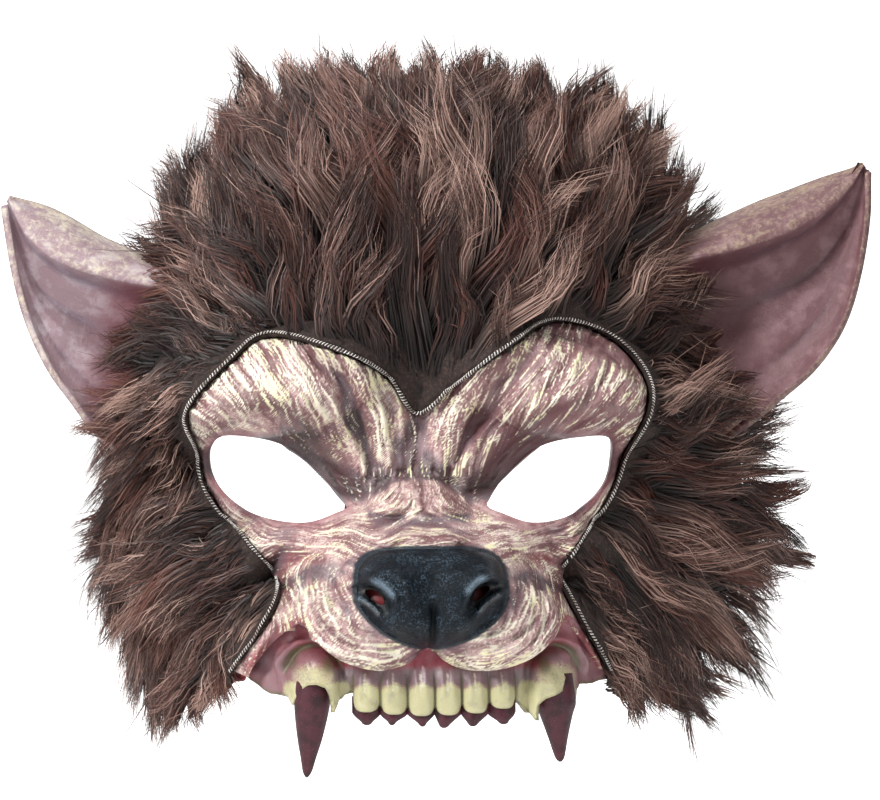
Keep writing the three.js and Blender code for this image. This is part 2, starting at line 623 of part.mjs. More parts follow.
function makeFang(fang, grow) {
  const rings = FANG_LEVELS.map((level) => {
    const lift = level.at === 0 ? grow : 0;
    const centre = new THREE.Vector3(
      mix(fang.x, fang.tipX, level.at ** 1.6),
      -(archAhead(fang.x) + FANG_AHEAD - 3 * level.at * level.at),
      mix(fang.topZ, fang.tipZ, level.at) + lift);
    const ring = [];
    for (let n = 0; n < FANG_SIDES; n++) {
      const angle = (2 * Math.PI * n) / FANG_SIDES;
      ring.push(centre.clone().add(new THREE.Vector3(
        (level.halfWidth + grow) * Math.cos(angle), (level.halfDepth + grow) * Math.sin(angle), 0)));
    }
    return ring;
  });
  return loft(rings);
}

// A solid through rings of points, closed at both ends.
function loft(rings) {
  const sides = rings[0].length;
  const positions = rings.flat().flatMap((p) => [p.x, p.y, p.z]);
  const index = [];
  for (let j = 0; j < rings.length - 1; j++) {
    for (let n = 0; n < sides; n++) {
      const [a, b] = [j * sides + n, j * sides + ((n + 1) % sides)];
      index.push(a, b, b + sides, a, b + sides, a + sides);
    }
  }
  for (const [ring, from] of [[rings[0], 0], [rings[rings.length - 1], (rings.length - 1) * sides]]) {
    const centre = ring.reduce((sum, p) => sum.add(p), new THREE.Vector3()).divideScalar(sides);
    const middle = positions.length / 3;
    positions.push(centre.x, centre.y, centre.z);
    for (let n = 0; n < sides; n++) {
      const [a, b] = [from + n, from + ((n + 1) % sides)];
      if (from === 0) index.push(middle, b, a);
      else index.push(middle, a, b);
    }
  }
  const geometry = new THREE.BufferGeometry();
  geometry.setAttribute("position", new THREE.BufferAttribute(new Float32Array(positions), 3));
  geometry.setIndex(index);
  return solid(geometry);
}

// An ear: a curled sheet of latex. grow makes it thicker and wider on every side.
function makeEar(ear, grow) {
  const stations = ear.stations.map((station, n) => ({ at: n, ...station }));
  const last = stations.length - 1;
  const middle = [];
  const extend = (p, from, by) => p.addScaledVector(p.clone().sub(from).normalize(), by);
  for (let j = 0; j <= EAR_ROWS; j++) {
    const along = (last * j) / EAR_ROWS;
    const at = (name) => between(stations, "at", along, name);
    const depth = at("depth");
    const ahead = mix(ear.rootAhead, ear.tipAhead, j / EAR_ROWS);
    const top = new THREE.Vector3(at("topX"), 0, at("topZ"));
    const fold = new THREE.Vector3(at("foldX"), 0, at("foldZ"));
    const outer = new THREE.Vector3(at("outerX"), 0, at("outerZ"));
    const profile = [
      { point: top, rise: -0.8 },
      { point: top.clone().lerp(fold, 0.45), rise: 0.35 },
      { point: fold, rise: 0.7 },
      { point: fold.clone().lerp(outer, 0.12), rise: -0.35 },
      { point: fold.clone().lerp(outer, 0.38), rise: -0.8 },
      { point: fold.clone().lerp(outer, 0.66), rise: -0.5 },
      { point: fold.clone().lerp(outer, 0.88), rise: -0.15 },
      { point: outer, rise: 0.3 },
    ].map(({ point, rise }) => new THREE.Vector3(point.x, -(ahead + rise * depth), point.z));
    const end = profile.length - 1;
    extend(profile[0], profile[1], grow);
    extend(profile[end], profile[end - 1], grow);
    if (j === EAR_ROWS) profile.forEach((p, n) => extend(p, middle[j - 1][n], grow));
    middle.push(profile);
  }
  const shifted = (by) => middle.map((row) => row.map((p) => new THREE.Vector3(p.x, p.y + by, p.z)));
  return sheet(shifted(-grow), shifted(LATEX_WALL + grow));
}

// The fur hood: a padded backing on the skin, cut open round the face, with locks fused to it.
function edgeGap(x, z) {
  return openingEdge.reduce((least, p) => Math.min(least, Math.hypot(x - p.x, z - p.z)), Infinity);
}
const pileAt = (p) => mix(FUR_EDGE, FUR_PILE, smoothStep(0, FUR_RISE, edgeGap(p.x, p.z)));

// A lock: a flat tapering strand that starts in the pile, lies along the hood and lifts at its tip.
function makeLock(root, lean, normal, length, width, lift, sink) {
  const side = new THREE.Vector3().crossVectors(lean, normal).normalize();
  const rings = [];
  for (let n = 0; n <= LOCK_STEPS; n++) {
    const share = n / LOCK_STEPS;
    const centre = root.clone().addScaledVector(lean, length * share)
      .addScaledVector(normal, length * lift * share ** 1.5)
      .add(new THREE.Vector3(0, 0, -sink * share * share));
    const half = (width / 2) * mix(0.72 + share, 0.05, share ** 1.7);
    const ring = [];
    for (let k = 0; k < LOCK_SIDES; k++) {
      const angle = (2 * Math.PI * (k + 0.75)) / LOCK_SIDES;
      ring.push(centre.clone().addScaledVector(side, 1.3 * half * Math.cos(angle))
        .addScaledVector(normal, 0.55 * half * Math.sin(angle)));
    }
    rings.push(ring);
  }
  return loft(rings);
}

// True where no lock grows: inside the face opening's margin, or on an ear's root.
function isBare(p, outline) {
  const margin = 9;
  if (edgeGap(p.x, p.z) < margin || insideOutline(outline, p)) return true;
  return EARS.some((ear) => p.x * ear.side > 60 && Math.abs(p.z - ear.rootZ) < 25 && -p.y > -56);
}

function insideOutline(outline, p) {
  let inside = false;
  for (let n = 0, m = outline.length - 1; n < outline.length; m = n++) {
    const [a, b] = [outline[n], outline[m]];
    if (a.z > p.z !== b.z > p.z && p.x < ((b.x - a.x) * (p.z - a.z)) / (b.z - a.z) + a.x) inside = !inside;
  }
  return inside;
}

function makeHood(seat, earSpaces) {
  const outer = moved(grid, smoothNormals, (p) => SEAT_GAP + pileAt(p));
  const last = openingEdge.length - 1;
  const outline = [
    ...openingEdge,
    { x: openingEdge[last].x, z: BELOW_MASK },
    { x: openingEdge[0].x, z: BELOW_MASK },
  ];
  let hood = sheet(outer, moved(grid, normals, SEAT_GAP), splits).subtract(cutterAlongY(outline, -80, 30));
  LOCK_TIERS.forEach((tier, t) => {
    for (let n = 0; n < 2 * tier.perSide; n++) {
      const side = n < tier.perSide ? -1 : 1;
      const across = side * mix(tier.first, 1, ((n % tier.perSide) + 0.3 + 0.4 * (t % 2)) / tier.perSide);
      const p = skinPoint(across, tier.z, DOMES, []);
      if (isBare(p, outline)) continue;
      const plain = skinPoint(across, tier.z, [], []);
      const aside = skinPoint(across - side * 0.02, tier.z, [], []).sub(plain).multiplyScalar(-side);
      const above = skinPoint(across, tier.z + 1, [], []).sub(plain);
      const normal = aside.cross(above).normalize();
      const sway = Math.sin(7.3 * n + 3.1 * t);
      const lean = new THREE.Vector3(p.x - FLOW_CENTRE.x + 9 * sway, 0, p.z - FLOW_CENTRE.z);
      lean.addScaledVector(normal, -lean.dot(normal)).normalize();
      const root = p.clone().addScaledVector(normal, pileAt(p) - 0.2 * tier.width);
      const length = tier.length * (side < 0 ? LEFT_LOCKS : 1) * (1 + 0.15 * sway);
      hood = hood.add(makeLock(root, lean, normal, length, tier.width, tier.lift, tier.sink));
    }
  });
  for (const space of [seat, ...earSpaces]) hood = hood.subtract(space);
  return hood.decompose().sort((a, b) => b.volume() - a.volume())[0];
}

// Materials.
const material = (color, roughness) => new THREE.MeshStandardMaterial({ color, roughness, metalness: 0 });
const skinPaint = material(0xa8808a, 0.5);
const nosePaint = material(0x20262c, 0.3);
const gumPaint = material(0xd8d09a, 0.4);
const fangPaint = material(0x4c1f26, 0.35);
const earPaint = material(0xa57d86, 0.5);
const furFibre = material(0x4a342e, 0.8);

const mask = new THREE.Group();
mask.name = "werewolf_mask";
function place(name, made, paint) {
  const mesh = new THREE.Mesh(geometryOf(made), paint);
  mesh.name = name;
  mask.add(mesh);
}

const seat = fromSkin(SEAT_GAP, 120);
const shellSpace = fromSkin(-LATEX_WALL - SEAT_GAP, -90)
  .add(sheet(moved(grid, normals, SEAT_GAP), moved(grid, normals, -LATEX_WALL - SEAT_GAP), splits))
  .subtract(cutterAlongY(mouthOutline(-SEAT_GAP), -100, 60));
const fangSpaces = FANGS.map((fang) => makeFang(fang, SEAT_GAP));
const jaw = makeJaw(shellSpace, fangSpaces);

place("face_shell", makeFace(), skinPaint);
place("nose", makeNose(seat), nosePaint);
place("upper_jaw", jaw, gumPaint);
place("incisor_points", makePoints(), fangPaint);
for (const fang of FANGS) place(fang.name, makeFang(fang, 0), fangPaint);
for (const ear of EARS) place(ear.name, makeEar(ear, 0).subtract(seat), earPaint);
place("fur_hood", makeHood(seat, EARS.map((ear) => makeEar(ear, 2 * SEAT_GAP))), furFibre);

export default mask;
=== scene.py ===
"""A werewolf half mask: painted latex face, nose, jaw and ears, long fangs and a shaggy fur hood.

All sizes are millimetres until a mesh is made. +Z is up, the face looks along -Y, and +X is on the
right of someone who looks at it. "ahead" is the distance in front of the origin, so y = -ahead.
"""

import logging
import math
from dataclasses import dataclass
from enum import Enum
from typing import Any, Sequence

import bpy
import numpy as np
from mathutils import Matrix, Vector
from numpy.typing import NDArray


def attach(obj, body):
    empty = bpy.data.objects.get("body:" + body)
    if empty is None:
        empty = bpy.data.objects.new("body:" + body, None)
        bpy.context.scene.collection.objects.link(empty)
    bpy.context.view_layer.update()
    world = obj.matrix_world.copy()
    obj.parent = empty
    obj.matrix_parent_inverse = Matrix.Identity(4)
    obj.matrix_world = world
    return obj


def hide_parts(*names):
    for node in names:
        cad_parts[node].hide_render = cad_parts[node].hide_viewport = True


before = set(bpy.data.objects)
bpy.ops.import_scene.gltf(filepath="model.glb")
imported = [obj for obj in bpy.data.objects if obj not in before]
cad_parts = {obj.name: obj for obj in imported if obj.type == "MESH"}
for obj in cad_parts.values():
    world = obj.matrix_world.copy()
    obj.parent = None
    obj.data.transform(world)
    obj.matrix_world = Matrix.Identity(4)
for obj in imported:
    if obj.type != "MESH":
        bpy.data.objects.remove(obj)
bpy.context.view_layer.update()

Array = NDArray[np.float64]
Faces = NDArray[np.int64]
MM = 0.001
LOG = logging.getLogger("mask")
SEED = 20

# How softly the domes of the snout and the brows run into the head.
SNOUT_BLEND = 9.5
# How far the jaw's middle lies to the right.
JAW_SHIFT = 2.4
ARCH_FRONT, ARCH_BACK, ARCH_HALF_WIDTH, ARCH_FULLNESS = 31.0, -6.0, 47.0, 2.6
# Where the gums leave the arch and go straight towards the cheeks.
CHEEK_SIDE = 42.5
# How far the domes are sunk near the back edge, so that the edge stays straight.
RIM_CALM = 45.0
# How thick the nose, the ears, the lining and the backing are.
NOSE_WALL, EAR_WALL, LINING_WALL, BACKING_WALL = 4.0, 2.0, 0.8, 1.35
# The height of the floor under the mask.
FLOOR_Z = -125.0


class Side(Enum):
    """Which half of the face a fold or a flow mark lies on."""

    BOTH = 0
    LEFT = -1
    RIGHT = 1


@dataclass(frozen=True)
class Section:
    """One horizontal section of the head under the mask."""

    z: float
    left: float
    right: float
    front: float
    rim: float
    fullness: float


@dataclass(frozen=True)
class Dome:
    """A big rounded form that stands out of the head, with a mirror twin unless x is 0."""

    x: float
    z: float
    rx: float
    rz: float
    top: float
    drop: float
    turn: float = 0.0


@dataclass(frozen=True)
class Fold:
    """A ridge or groove of the skin along a curve through three marks of the right half."""

    start: tuple[float, float]
    middle: tuple[float, float]
    end: tuple[float, float]
    width: float
    height: float
    side: Side = Side.BOTH


@dataclass(frozen=True)
class FlowMark:
    """The way the brush and the fine wrinkles run at a point of the right half, in degrees."""

    x: float
    z: float
    angle: float
    reach: float = 6.0


@dataclass(frozen=True)
class CombMark:
    """The way the fur is combed at a point of the front view."""

    x: float
    z: float
    to_x: float
    to_z: float
    length: float
    lift: float


@dataclass(frozen=True)
class EarStation:
    """One cross section of an ear, seen from the front."""

    top: tuple[float, float]
    fold: tuple[float, float]
    outer: tuple[float, float]
    depth: float


@dataclass(frozen=True)
class Patch:
    """A soft patch where a coat of paint lies thicker or thinner than elsewhere."""

    mark: str
    x: float
    z: float
    rx: float
    rz: float
    turn: float
    amount: float


@dataclass(frozen=True)
class Incisor:
    """One front tooth: its crown and the dark point under it."""

    x: float
    half_width: float
    bottom: float
    tip_x: float
    tip_half: float
    tip_z: float


HEAD = tuple(Section(*row) for row in (
    (-60, 69, 76, -6, -52, 2.3), (-40, 75, 84, -2, -58, 2.3), (-20, 78, 88, 1, -61, 2.4),
    (0, 78, 88, 2.2, -62, 2.4), (24, 75, 86, 3, -62, 2.4), (46, 70, 82, 1, -61, 2.3),
    (66, 62, 77, -5, -59, 2.2), (84, 51, 68, -16, -56, 2.1), (96, 39, 54, -28, -53, 2),
    (103, 26, 38, -38, -50, 2),
))

DOMES = tuple(Dome(*row) for row in (
    (0, -19, 17, 17, 23, 22), (0, -38, 37, 24, 38, 36), (0, -33, 25, 16, 46, 18),
    (18, -43, 20, 15, 41, 16, -8), (42, -50, 13, 19, 15, 18, 24), (41, -22, 17, 9, 7, 9, -24),
    (36, 24, 29, 14, 14, 13, -14),
))

# The main folds, the same as in the solids.
FOLDS = tuple(Fold(*row) for row in (
    ((52, 17), (30, 28), (15, -4), 5.5, 4.5), ((32, 36), (13, 32), (7, -4), 4.5, 4.5),
    ((38, 36), (21, 30), (11.5, 0), 2.6, -3.4), ((0.5, 24), (0.5, 15), (0.5, 7), 3, -4),
    ((62, 13), (59, 19), (50, 17), 4, 3.5), ((50, 12.5), (33, 12), (19, -6), 4, -5),
    ((27, -16), (14, -8), (0, -9), 3.2, 3.6), ((45, -24), (26, -12), (0, -17), 3.4, 3.4),
    ((30, -19), (14, -12), (0, -13), 1.8, -2.6), ((41, -28), (33, -22), (24, -24), 3, -5.5),
    ((31, -28), (29, -43), (14, -50), 2.2, 1.8), ((37, -41), (26, -56), (5, -53), 2.6, 1.6),
    ((0.2, -40), (0.2, -47), (0.2, -54), 2, -5), ((36, -37), (43, -44), (48, -57), 3.6, 4),
))

# The small folds and creases that only a fine mesh can hold.
CREASES = tuple(Fold(*row) for row in (
    ((27, 21), (19, 14), (14.5, 0), 1.2, 1.1), ((24, 26), (15, 20), (12, 2), 1.0, -1.2),
    ((44, 31), (33, 24), (28, 14), 1.3, -1.0), ((52, 26), (46, 20), (43, 14), 1.2, -0.9),
    ((14, 30), (7, 22), (6, 8), 1.1, -0.9), ((57, 21), (53, 17), (52, 12), 1.4, -1.8),
    ((20, -11), (9, -7), (1, -1), 1.3, 0.9), ((22, -14), (10, -13), (2, -6), 1.1, 0.8),
    ((24, -17), (11, -17), (2, -11), 1.1, 0.8), ((16, -17), (8, -20), (1, -17), 1.2, 0.8),
    ((10, -5), (5, -8), (0, -9), 3.0, -1.3), ((22, -20), (10, -17), (0, -19), 1.3, 0.9),
    ((14, -19), (27, -15), (44, -26), 1.6, 1.4), ((24, -21.5), (34, -21.5), (42, -28), 1.6, -1.6),
    ((50, -15), (40, -20), (29, -17), 1.1, -0.9), ((33, -26), (41, -46), (20, -54), 0.9, 0.8),
    ((30, -27), (37, -45), (17, -51.5), 0.8, 0.7), ((27, -29), (32.5, -42), (15, -48.5), 0.8, 0.6),
    ((32, -25), (39.5, -45), (19, -53), 0.7, -0.6), ((28.5, -28), (35, -43.5), (16, -50), 0.7, -0.6),
    ((10, -4), (5, 1), (3, 9), 1.0, -0.9, Side.RIGHT),
    ((9, -3), (4, 3), (4.5, 12), 1.1, -1.0, Side.LEFT), ((41, -36), (45, -44), (50, -52), 1.2, -1.2),
    ((38.5, -40), (41, -46), (44, -52), 1.0, -1.0),
))

FLOW = tuple(FlowMark(*row) for row in (
    (47, 22, 60, 9), (34, 22, 58, 9), (24, 16, 63, 7), (15, 24, 62, 7), (9, 8, 80, 6), (9, -4, 95, 5),
    (0, 6, 90, 4), (58, 14, 35, 6), (46, 11.5, 16, 4), (31, 6, 42, 4), (22, -3, 60, 4), (52, -8, 50, 5),
    (46, -14, 32, 5), (34, -18, 4, 5), (24, -14, -24, 4), (0, -6, 90, 3), (8, -8, 145, 4),
    (0, -18, 0, 4), (10, -14, 160, 4), (20, -19, 20, 5), (30, -21, 10, 4), (40, -25, -22, 4),
    (31, -26, 117, 4), (36, -34, 90, 5), (33, -44, 60, 5), (20, -51, 19, 6), (8, -50, -22, 5),
    (42, -50, 105, 6), (24, -38, 75, 5), (14, -47, 5, 4),
))

EYE_OUTLINE = (
    (19.4, -9.8), (24.8, -2.8), (35.5, 6.4), (46.5, 9.2), (55.2, 8.8),
    (57, 3.2), (54.6, -4.4), (45.4, -12), (32, -14.6), (23.4, -12),
)
FACE_OPENING = (
    (-51.5, -56), (-38, -31.5), (-46.5, -21), (-57.5, -5), (-60, 6), (-63.5, 15.5), (-51.5, 30),
    (-42, 36.6), (-23, 32.6), (-8, 25.6), (0.5, 15.8), (9.6, 23), (24.5, 33.6), (41.5, 41.8),
    (59, 35), (66, 23), (60.5, 5.5), (55.5, -8), (45, -21), (39.6, -29.7), (41.8, -37), (45.7, -44),
    (52.8, -56),
)
LIP_LINE = (
    (0, -49.4), (2.6, -52.2), (8, -54.6), (17, -54.8), (26, -52),
    (32.5, -47), (36.6, -41.6), (40.5, -44.4), (45.0, -49.6), (49.5, -56), (51, -64),
)

# The fang sockets: where each lies to the side, and its half width.
SOCKETS = ((-30.2, 6.9), (36.6, 7.4))

# The lower edge of the gums and crowns, apart from the six front crowns.
JAW_EDGE = (
    (-50, -55.5), (-47.9, -57.4), (-44.8, -59.6), (-41.5, -61.9), (-36.6, -62.6), (-35.7, -65.0),
    (-34.4, -60.9), (-32.5, -59.0), (-30.0, -58.7), (-27.5, -59.6), (-25.6, -62.6), (-24.9, -66.4),
    (-23.6, -63.6), (-22, -61.8), (-20.2, -61.2), (-19.0, -61.6), (-17.2, -64.0), (23.4, -64.0),
    (25.2, -63.8), (27.5, -65.2), (29.6, -67.6), (30.6, -69.2), (31.0, -64.6), (33.5, -63.0),
    (36.5, -61.6), (39.5, -60.3), (41.6, -61.6), (42.2, -64.0), (42.8, -60.6), (44.5, -59.4),
    (49, -59.4), (53, -58.2),
)
INCISORS = tuple(Incisor(*row) for row in (
    (-15.8, 3.75, -66.3, -15.8, 1.4, -70.0), (-8.4, 3.75, -67.0, -9.0, 1.0, -70.0),
    (-1.0, 3.75, -67.4, -0.6, 1.0, -70.4), (6.4, 3.75, -67.2, 5.3, 1.3, -70.8),
    (13.8, 3.75, -66.7, 13.3, 1.3, -70.4), (21.2, 3.75, -65.5, 21.9, 1.4, -69.9),
))

# Where the cream, the grey washed coat with its painted shade and the painted brown shadow differ from
# what the wrinkles alone would give.
PATCHES = tuple(Patch(*row) for row in (
    ("cream", 54, 34, 10, 4.5, -20, -0.6), ("cream", 25, 22, 15, 2.6, 49, -0.35),
    ("wash_and_shade", 25, 22, 14, 2.4, 49, 0.7), ("cream", 10, 13, 5.5, 13, 0, 0.16),
    ("cream", 40, 25, 9, 6.5, 20, 0.14), ("cream", 22.5, 13, 3.2, 7, -20, 0.2),
    ("wash_and_shade", 53.5, 13, 4.5, 2.4, 0, 0.6), ("cream", 34, 10.5, 15, 2.6, 24, -0.5),
    ("cream", -10, 13, 6, 14, 0, 0.2), ("cream", -40, 24, 12, 8, -20, 0.22),
    ("wash_and_shade", -25, 20, 13, 2.0, -52, 0.55), ("cream", -25, 20, 13, 2.2, -52, -0.25),
    ("cream", -22, 12, 4, 8, 20, 0.2), ("cream", -34, 10.5, 15, 2.4, -24, -0.45),
    ("wash_and_shade", -54, 11, 5, 3, 0, 0.45), ("wash_and_shade", 0, 0, 3.5, 9, 0, 0.35),
    ("cream", 0, -1.5, 15, 3.6, 0, -0.45),
))
BROW_SHADOWS = (
    Fold((48, 21), (29, 16), (19, -5), 2.3, 1.0), Fold((60, 15), (52, 20), (44, 17), 1.8, 0.6),
)

COMB = tuple(CombMark(*row) for row in (
    (0, 22, 0.02, 1, 46, 0.32), (-22, 38, -0.2, 1, 50, 0.3), (22, 42, 0.3, 1, 50, 0.3),
    (-45, 42, -0.6, 0.8, 34, 0.3), (50, 48, 0.5, 0.85, 40, 0.35), (0, 60, -0.05, 1, 48, 0.34),
    (-30, 70, -0.3, 0.95, 42, 0.34), (35, 72, 0.2, 1, 42, 0.34), (-58, 60, -0.65, 0.75, 26, 0.22),
    (64, 66, 0.5, 0.85, 32, 0.35), (-25, 95, -0.3, 0.95, 20, 0.5), (25, 95, 0.05, 1, 20, 0.5),
    (-45, 86, -0.5, 0.85, 20, 0.35), (48, 90, 0.4, 0.9, 21, 0.45), (-64, 50, -0.95, 0.25, 20, 0.2),
    (-67, 28, -1, 0, 19, 0.2), (76, 50, 0.95, 0.25, 24, 0.25), (79, 28, 1, 0.05, 22, 0.25),
    (-66, 8, -0.8, -0.6, 22, 0.3), (-60, -8, -0.7, -0.7, 26, 0.3), (-73, -16, -0.9, -0.4, 19, 0.35),
    (-50, -28, -0.95, -0.1, 32, 0.35), (-60, -37, -0.85, -0.5, 28, 0.35),
    (-73, -42, -0.8, -0.6, 18, 0.3), (-52, -46, -0.7, -0.7, 22, 0.25), (-61, -54, -0.3, -0.95, 24, 0.2),
    (-49, -56, -0.3, -1, 8, 0.2), (66, 12, 0.95, 0.3, 30, 0.35), (80, 4, 1, 0.15, 32, 0.6),
    (66, -12, 0.9, -0.4, 34, 0.35), (50, -24, 0.75, -0.65, 38, 0.3), (62, -34, 0.75, -0.65, 36, 0.35),
    (82, -26, 1, -0.1, 30, 0.6), (52, -44, 0.7, -0.7, 28, 0.25), (66, -50, 0.85, -0.5, 24, 0.35),
    (80, -48, 1, -0.2, 24, 0.45), (58, -57, 0.7, -0.7, 14, 0.3),
))

# The folds in an ear's cup: the place across it, the width and the height of each.
EAR_RIBS = ((0.43, 0.04, 0.6), (0.52, 0.035, -0.9), (0.62, 0.045, 0.8), (0.75, 0.04, -0.7))

LEFT_EAR = tuple(EarStation(*row) for row in (
    ((-65.8, 58.6), (-65.8, 50.4), (-74.0, 2.1), 7), ((-76.1, 62.7), (-76.6, 52.9), (-85.3, 8.2), 9),
    ((-84.3, 66.8), (-86.4, 55.0), (-93.5, 19.0), 9), ((-92.5, 71.3), (-95.1, 57.6), (-100.7, 29.3), 8),
    ((-100.7, 75.0), (-103.3, 62.2), (-106.3, 41.6), 6.5),
    ((-107.7, 77.3), (-109.0, 68.4), (-110.2, 56.0), 4),
    ((-112.7, 78.7), (-113.1, 77.1), (-113.3, 75.0), 1),
))
RIGHT_EAR = tuple(EarStation(*row) for row in (
    ((72.0, 62.7), (72.0, 57.6), (82.2, 4.1), 8), ((82.2, 67.8), (84.3, 60.7), (95.6, 11.3), 10),
    ((92.5, 73.4), (95.6, 63.2), (107.4, 20.6), 10), ((102.8, 78.1), (105.9, 66.6), (117.2, 29.3), 9),
    ((113.1, 81.5), (115.7, 70.9), (125.2, 40.1), 8), ((122.3, 84.7), (123.4, 76.1), (130.6, 55.5), 6),
    ((129.5, 87.2), (129.5, 82.2), (133.2, 72.0), 3), ((132.8, 89.0), (133.2, 88.0), (133.6, 85.9), 1),
))


# Shape helpers


def smooth_step(low: float, high: float, value: Array) -> Array:
    """Rises smoothly from 0 at low to 1 at high.

    Args:
        low: Where the rise starts. It may be above high, for a fall.
        high: Where the rise ends.
        value: The values to map.

    Returns:
        The mapped values.
    """
    s = np.clip((value - low) / (high - low), 0, 1)
    return s * s * (3 - 2 * s)


def hill(*offsets: Array) -> Array:
    """A smooth hill that is 1 where every offset is 0 and almost flat where one is over 2.

    Args:
        offsets: Distances from the hill's middle, each over the hill's width that way.

    Returns:
        The height.
    """
    return np.exp(-sum(offset**2 for offset in offsets))


def soft_max(a: Array, b: Array, blend: float) -> Array:
    """The larger of two fields, rounded where they cross.

    Args:
        a: One field.
        b: The other field.
        blend: How wide the rounding is.

    Returns:
        The joined field.
    """
    h = np.maximum(blend - np.abs(a - b), 0) / blend
    return np.maximum(a, b) + h * h * blend / 4


def between_rows(keys: Sequence[float], values: Sequence[float], at: Array) -> Array:
    """Values between the rows of a table, on a smooth curve through them.

    Args:
        keys: The rows' places, rising.
        values: The rows' values.
        at: The places asked for.

    Returns:
        The values there.
    """
    k, v = np.asarray(keys, float), np.asarray(values, float)
    last = len(k) - 1
    i = np.clip(np.searchsorted(k[1:], at, side="left"), 0, last - 1)
    before, after = np.maximum(i - 1, 0), np.minimum(i + 2, last)
    span = k[i + 1] - k[i]
    s = (at - k[i]) / span
    slope_a = span * (v[i + 1] - v[before]) / (k[i + 1] - k[before])
    slope_b = span * (v[after] - v[i]) / (k[after] - k[i])
    return ((2 * s**3 - 3 * s**2 + 1) * v[i] + (s**3 - 2 * s**2 + s) * slope_a
            + (3 * s**2 - 2 * s**3) * v[i + 1] + (s**3 - s**2) * slope_b)


def smooth_outline(marks: Sequence[tuple[float, float]], closed: bool, steps: int) -> Array:
    """Points of a centripetal curve through an outline's marks.

    Args:
        marks: The outline's x and z.
        closed: Whether the last mark joins the first.
        steps: How many steps the curve takes.

    Returns:
        The points, one row each, without a repeated end where it is closed.
    """
    p = np.asarray(marks, float)
    n = len(p)
    if closed:
        ends = np.vstack([p[-1], p, p[0], p[1]])
        spans = n
    else:
        ends = np.vstack([2 * p[0] - p[1], p, 2 * p[-1] - p[-2]])
        spans = n - 1
    t = np.linspace(0, spans, steps + 1)
    i = np.minimum(t.astype(int), spans - 1)
    w = t - i
    a, b, c, d = ends[i], ends[i + 1], ends[i + 2], ends[i + 3]
    ab, bc, cd = [np.sqrt(np.linalg.norm(q - r, axis=1))[:, None] + 1e-9 for q, r in ((b, a), (c, b), (d, c))]
    m1 = ((b - a) / ab - (c - a) / (ab + bc) + (c - b) / bc) * bc
    m2 = ((c - b) / bc - (d - b) / (bc + cd) + (d - c) / cd) * bc
    w = w[:, None]
    points = ((2 * w**3 - 3 * w**2 + 1) * b + (w**3 - 2 * w**2 + w) * m1
              + (3 * w**2 - 2 * w**3) * c + (w**3 - w**2) * m2)
    return points[:-1] if closed else points


def signed_distance(points: Array, outline: Array) -> Array:
    """How far points lie from a closed outline, below 0 inside it.

    Args:
        points: The points, one row each.
        outline: The outline's corners, one row each.

    Returns:
        The distance of each point.
    """
    best = np.full(len(points), np.inf)
    inside = np.zeros(len(points), bool)
    for a, b in zip(outline, np.roll(outline, -1, axis=0)):
        edge = b - a
        share = np.clip((points - a) @ edge / (edge @ edge + 1e-12), 0, 1)
        best = np.minimum(best, np.linalg.norm(points - a - share[:, None] * edge, axis=1))
        crosses = (a[1] > points[:, 1]) != (b[1] > points[:, 1])
        where = a[0] + (points[:, 1] - a[1]) * edge[0] / (edge[1] if abs(edge[1]) > 1e-12 else 1e-12)
        inside ^= crosses & (points[:, 0] < where)
    return np.where(inside, -best, best)


def blurred(values: Array, reach: int) -> Array:
    """A grid averaged over a window, three times, which is close to a soft round brush.

    Args:
        values: The grid.
        reach: The window's half size in cells.

    Returns:
        The averaged grid.
    """
    out = values
    for _ in range(3):
        for axis in (0, 1):
            pad = [(0, 0), (0, 0)]
            pad[axis] = (reach + 1, reach)
            total = np.cumsum(np.pad(out, pad, mode="edge"), axis=axis)
            wide = 2 * reach + 1
            out = (np.take(total, range(wide, total.shape[axis]), axis=axis)
                   - np.take(total, range(0, total.shape[axis] - wide), axis=axis)) / wide
    return out


def even_steps(values: Array, lengths: Array, count: int) -> Array:
    """Splits runs of samples into steps of equal length.

    Args:
        values: The samples.
        lengths: The length of the run up to each sample.
        count: How many steps to make.

    Returns:
        The values at the steps' ends.
    """
    return np.interp(np.linspace(0, lengths[-1], count + 1), lengths, values)


# The skin's form


def section_values(name: str, z: Array) -> Array:
    """One size of the head's sections at any height."""
    return between_rows([s.z for s in HEAD], [getattr(s, name) for s in HEAD], z)


def head_x(across: Array, z: Array) -> Array:
    """Where a point of the head lies to the side.

    Args:
        across: The head's own coordinate, from -1 at the left back edge to 1 at the right.
        z: Height.

    Returns:
        The distance to the side.
    """
    sine = np.sin(across * math.pi / 2)
    left, right = section_values("left", z), section_values("right", z)
    return sine * (left + (right - left) * np.maximum(0, sine) ** 3)


def across_at(x: Array, z: Array) -> Array:
    """The head's own coordinate at a point of the front view.

    Args:
        x: Distance to the side.
        z: Height.

    Returns:
        The coordinate from -1 to 1.
    """
    left, right = section_values("left", z), section_values("right", z)
    sine = np.clip(x / left, -0.9999, 0.9999)
    for _ in range(8):
        over = sine * (left + (right - left) * np.maximum(0, sine) ** 3) - x
        slope = left + 4 * (right - left) * np.maximum(0, sine) ** 3
        sine = np.clip(sine - over / slope, -0.9999, 0.9999)
    return np.arcsin(sine) * 2 / math.pi


def head_round(across: Array, z: Array) -> Array:
    """How far forward a section has come.

    Args:
        across: The head's own coordinate, from -1 to 1.
        z: Height.

    Returns:
        A share from 0 at the back edge to 1 in the middle.
    """
    fullness = section_values("fullness", z)
    sine = np.abs(np.sin(across * math.pi / 2))
    return np.maximum(0, 1 - sine**fullness) ** (1 / fullness)


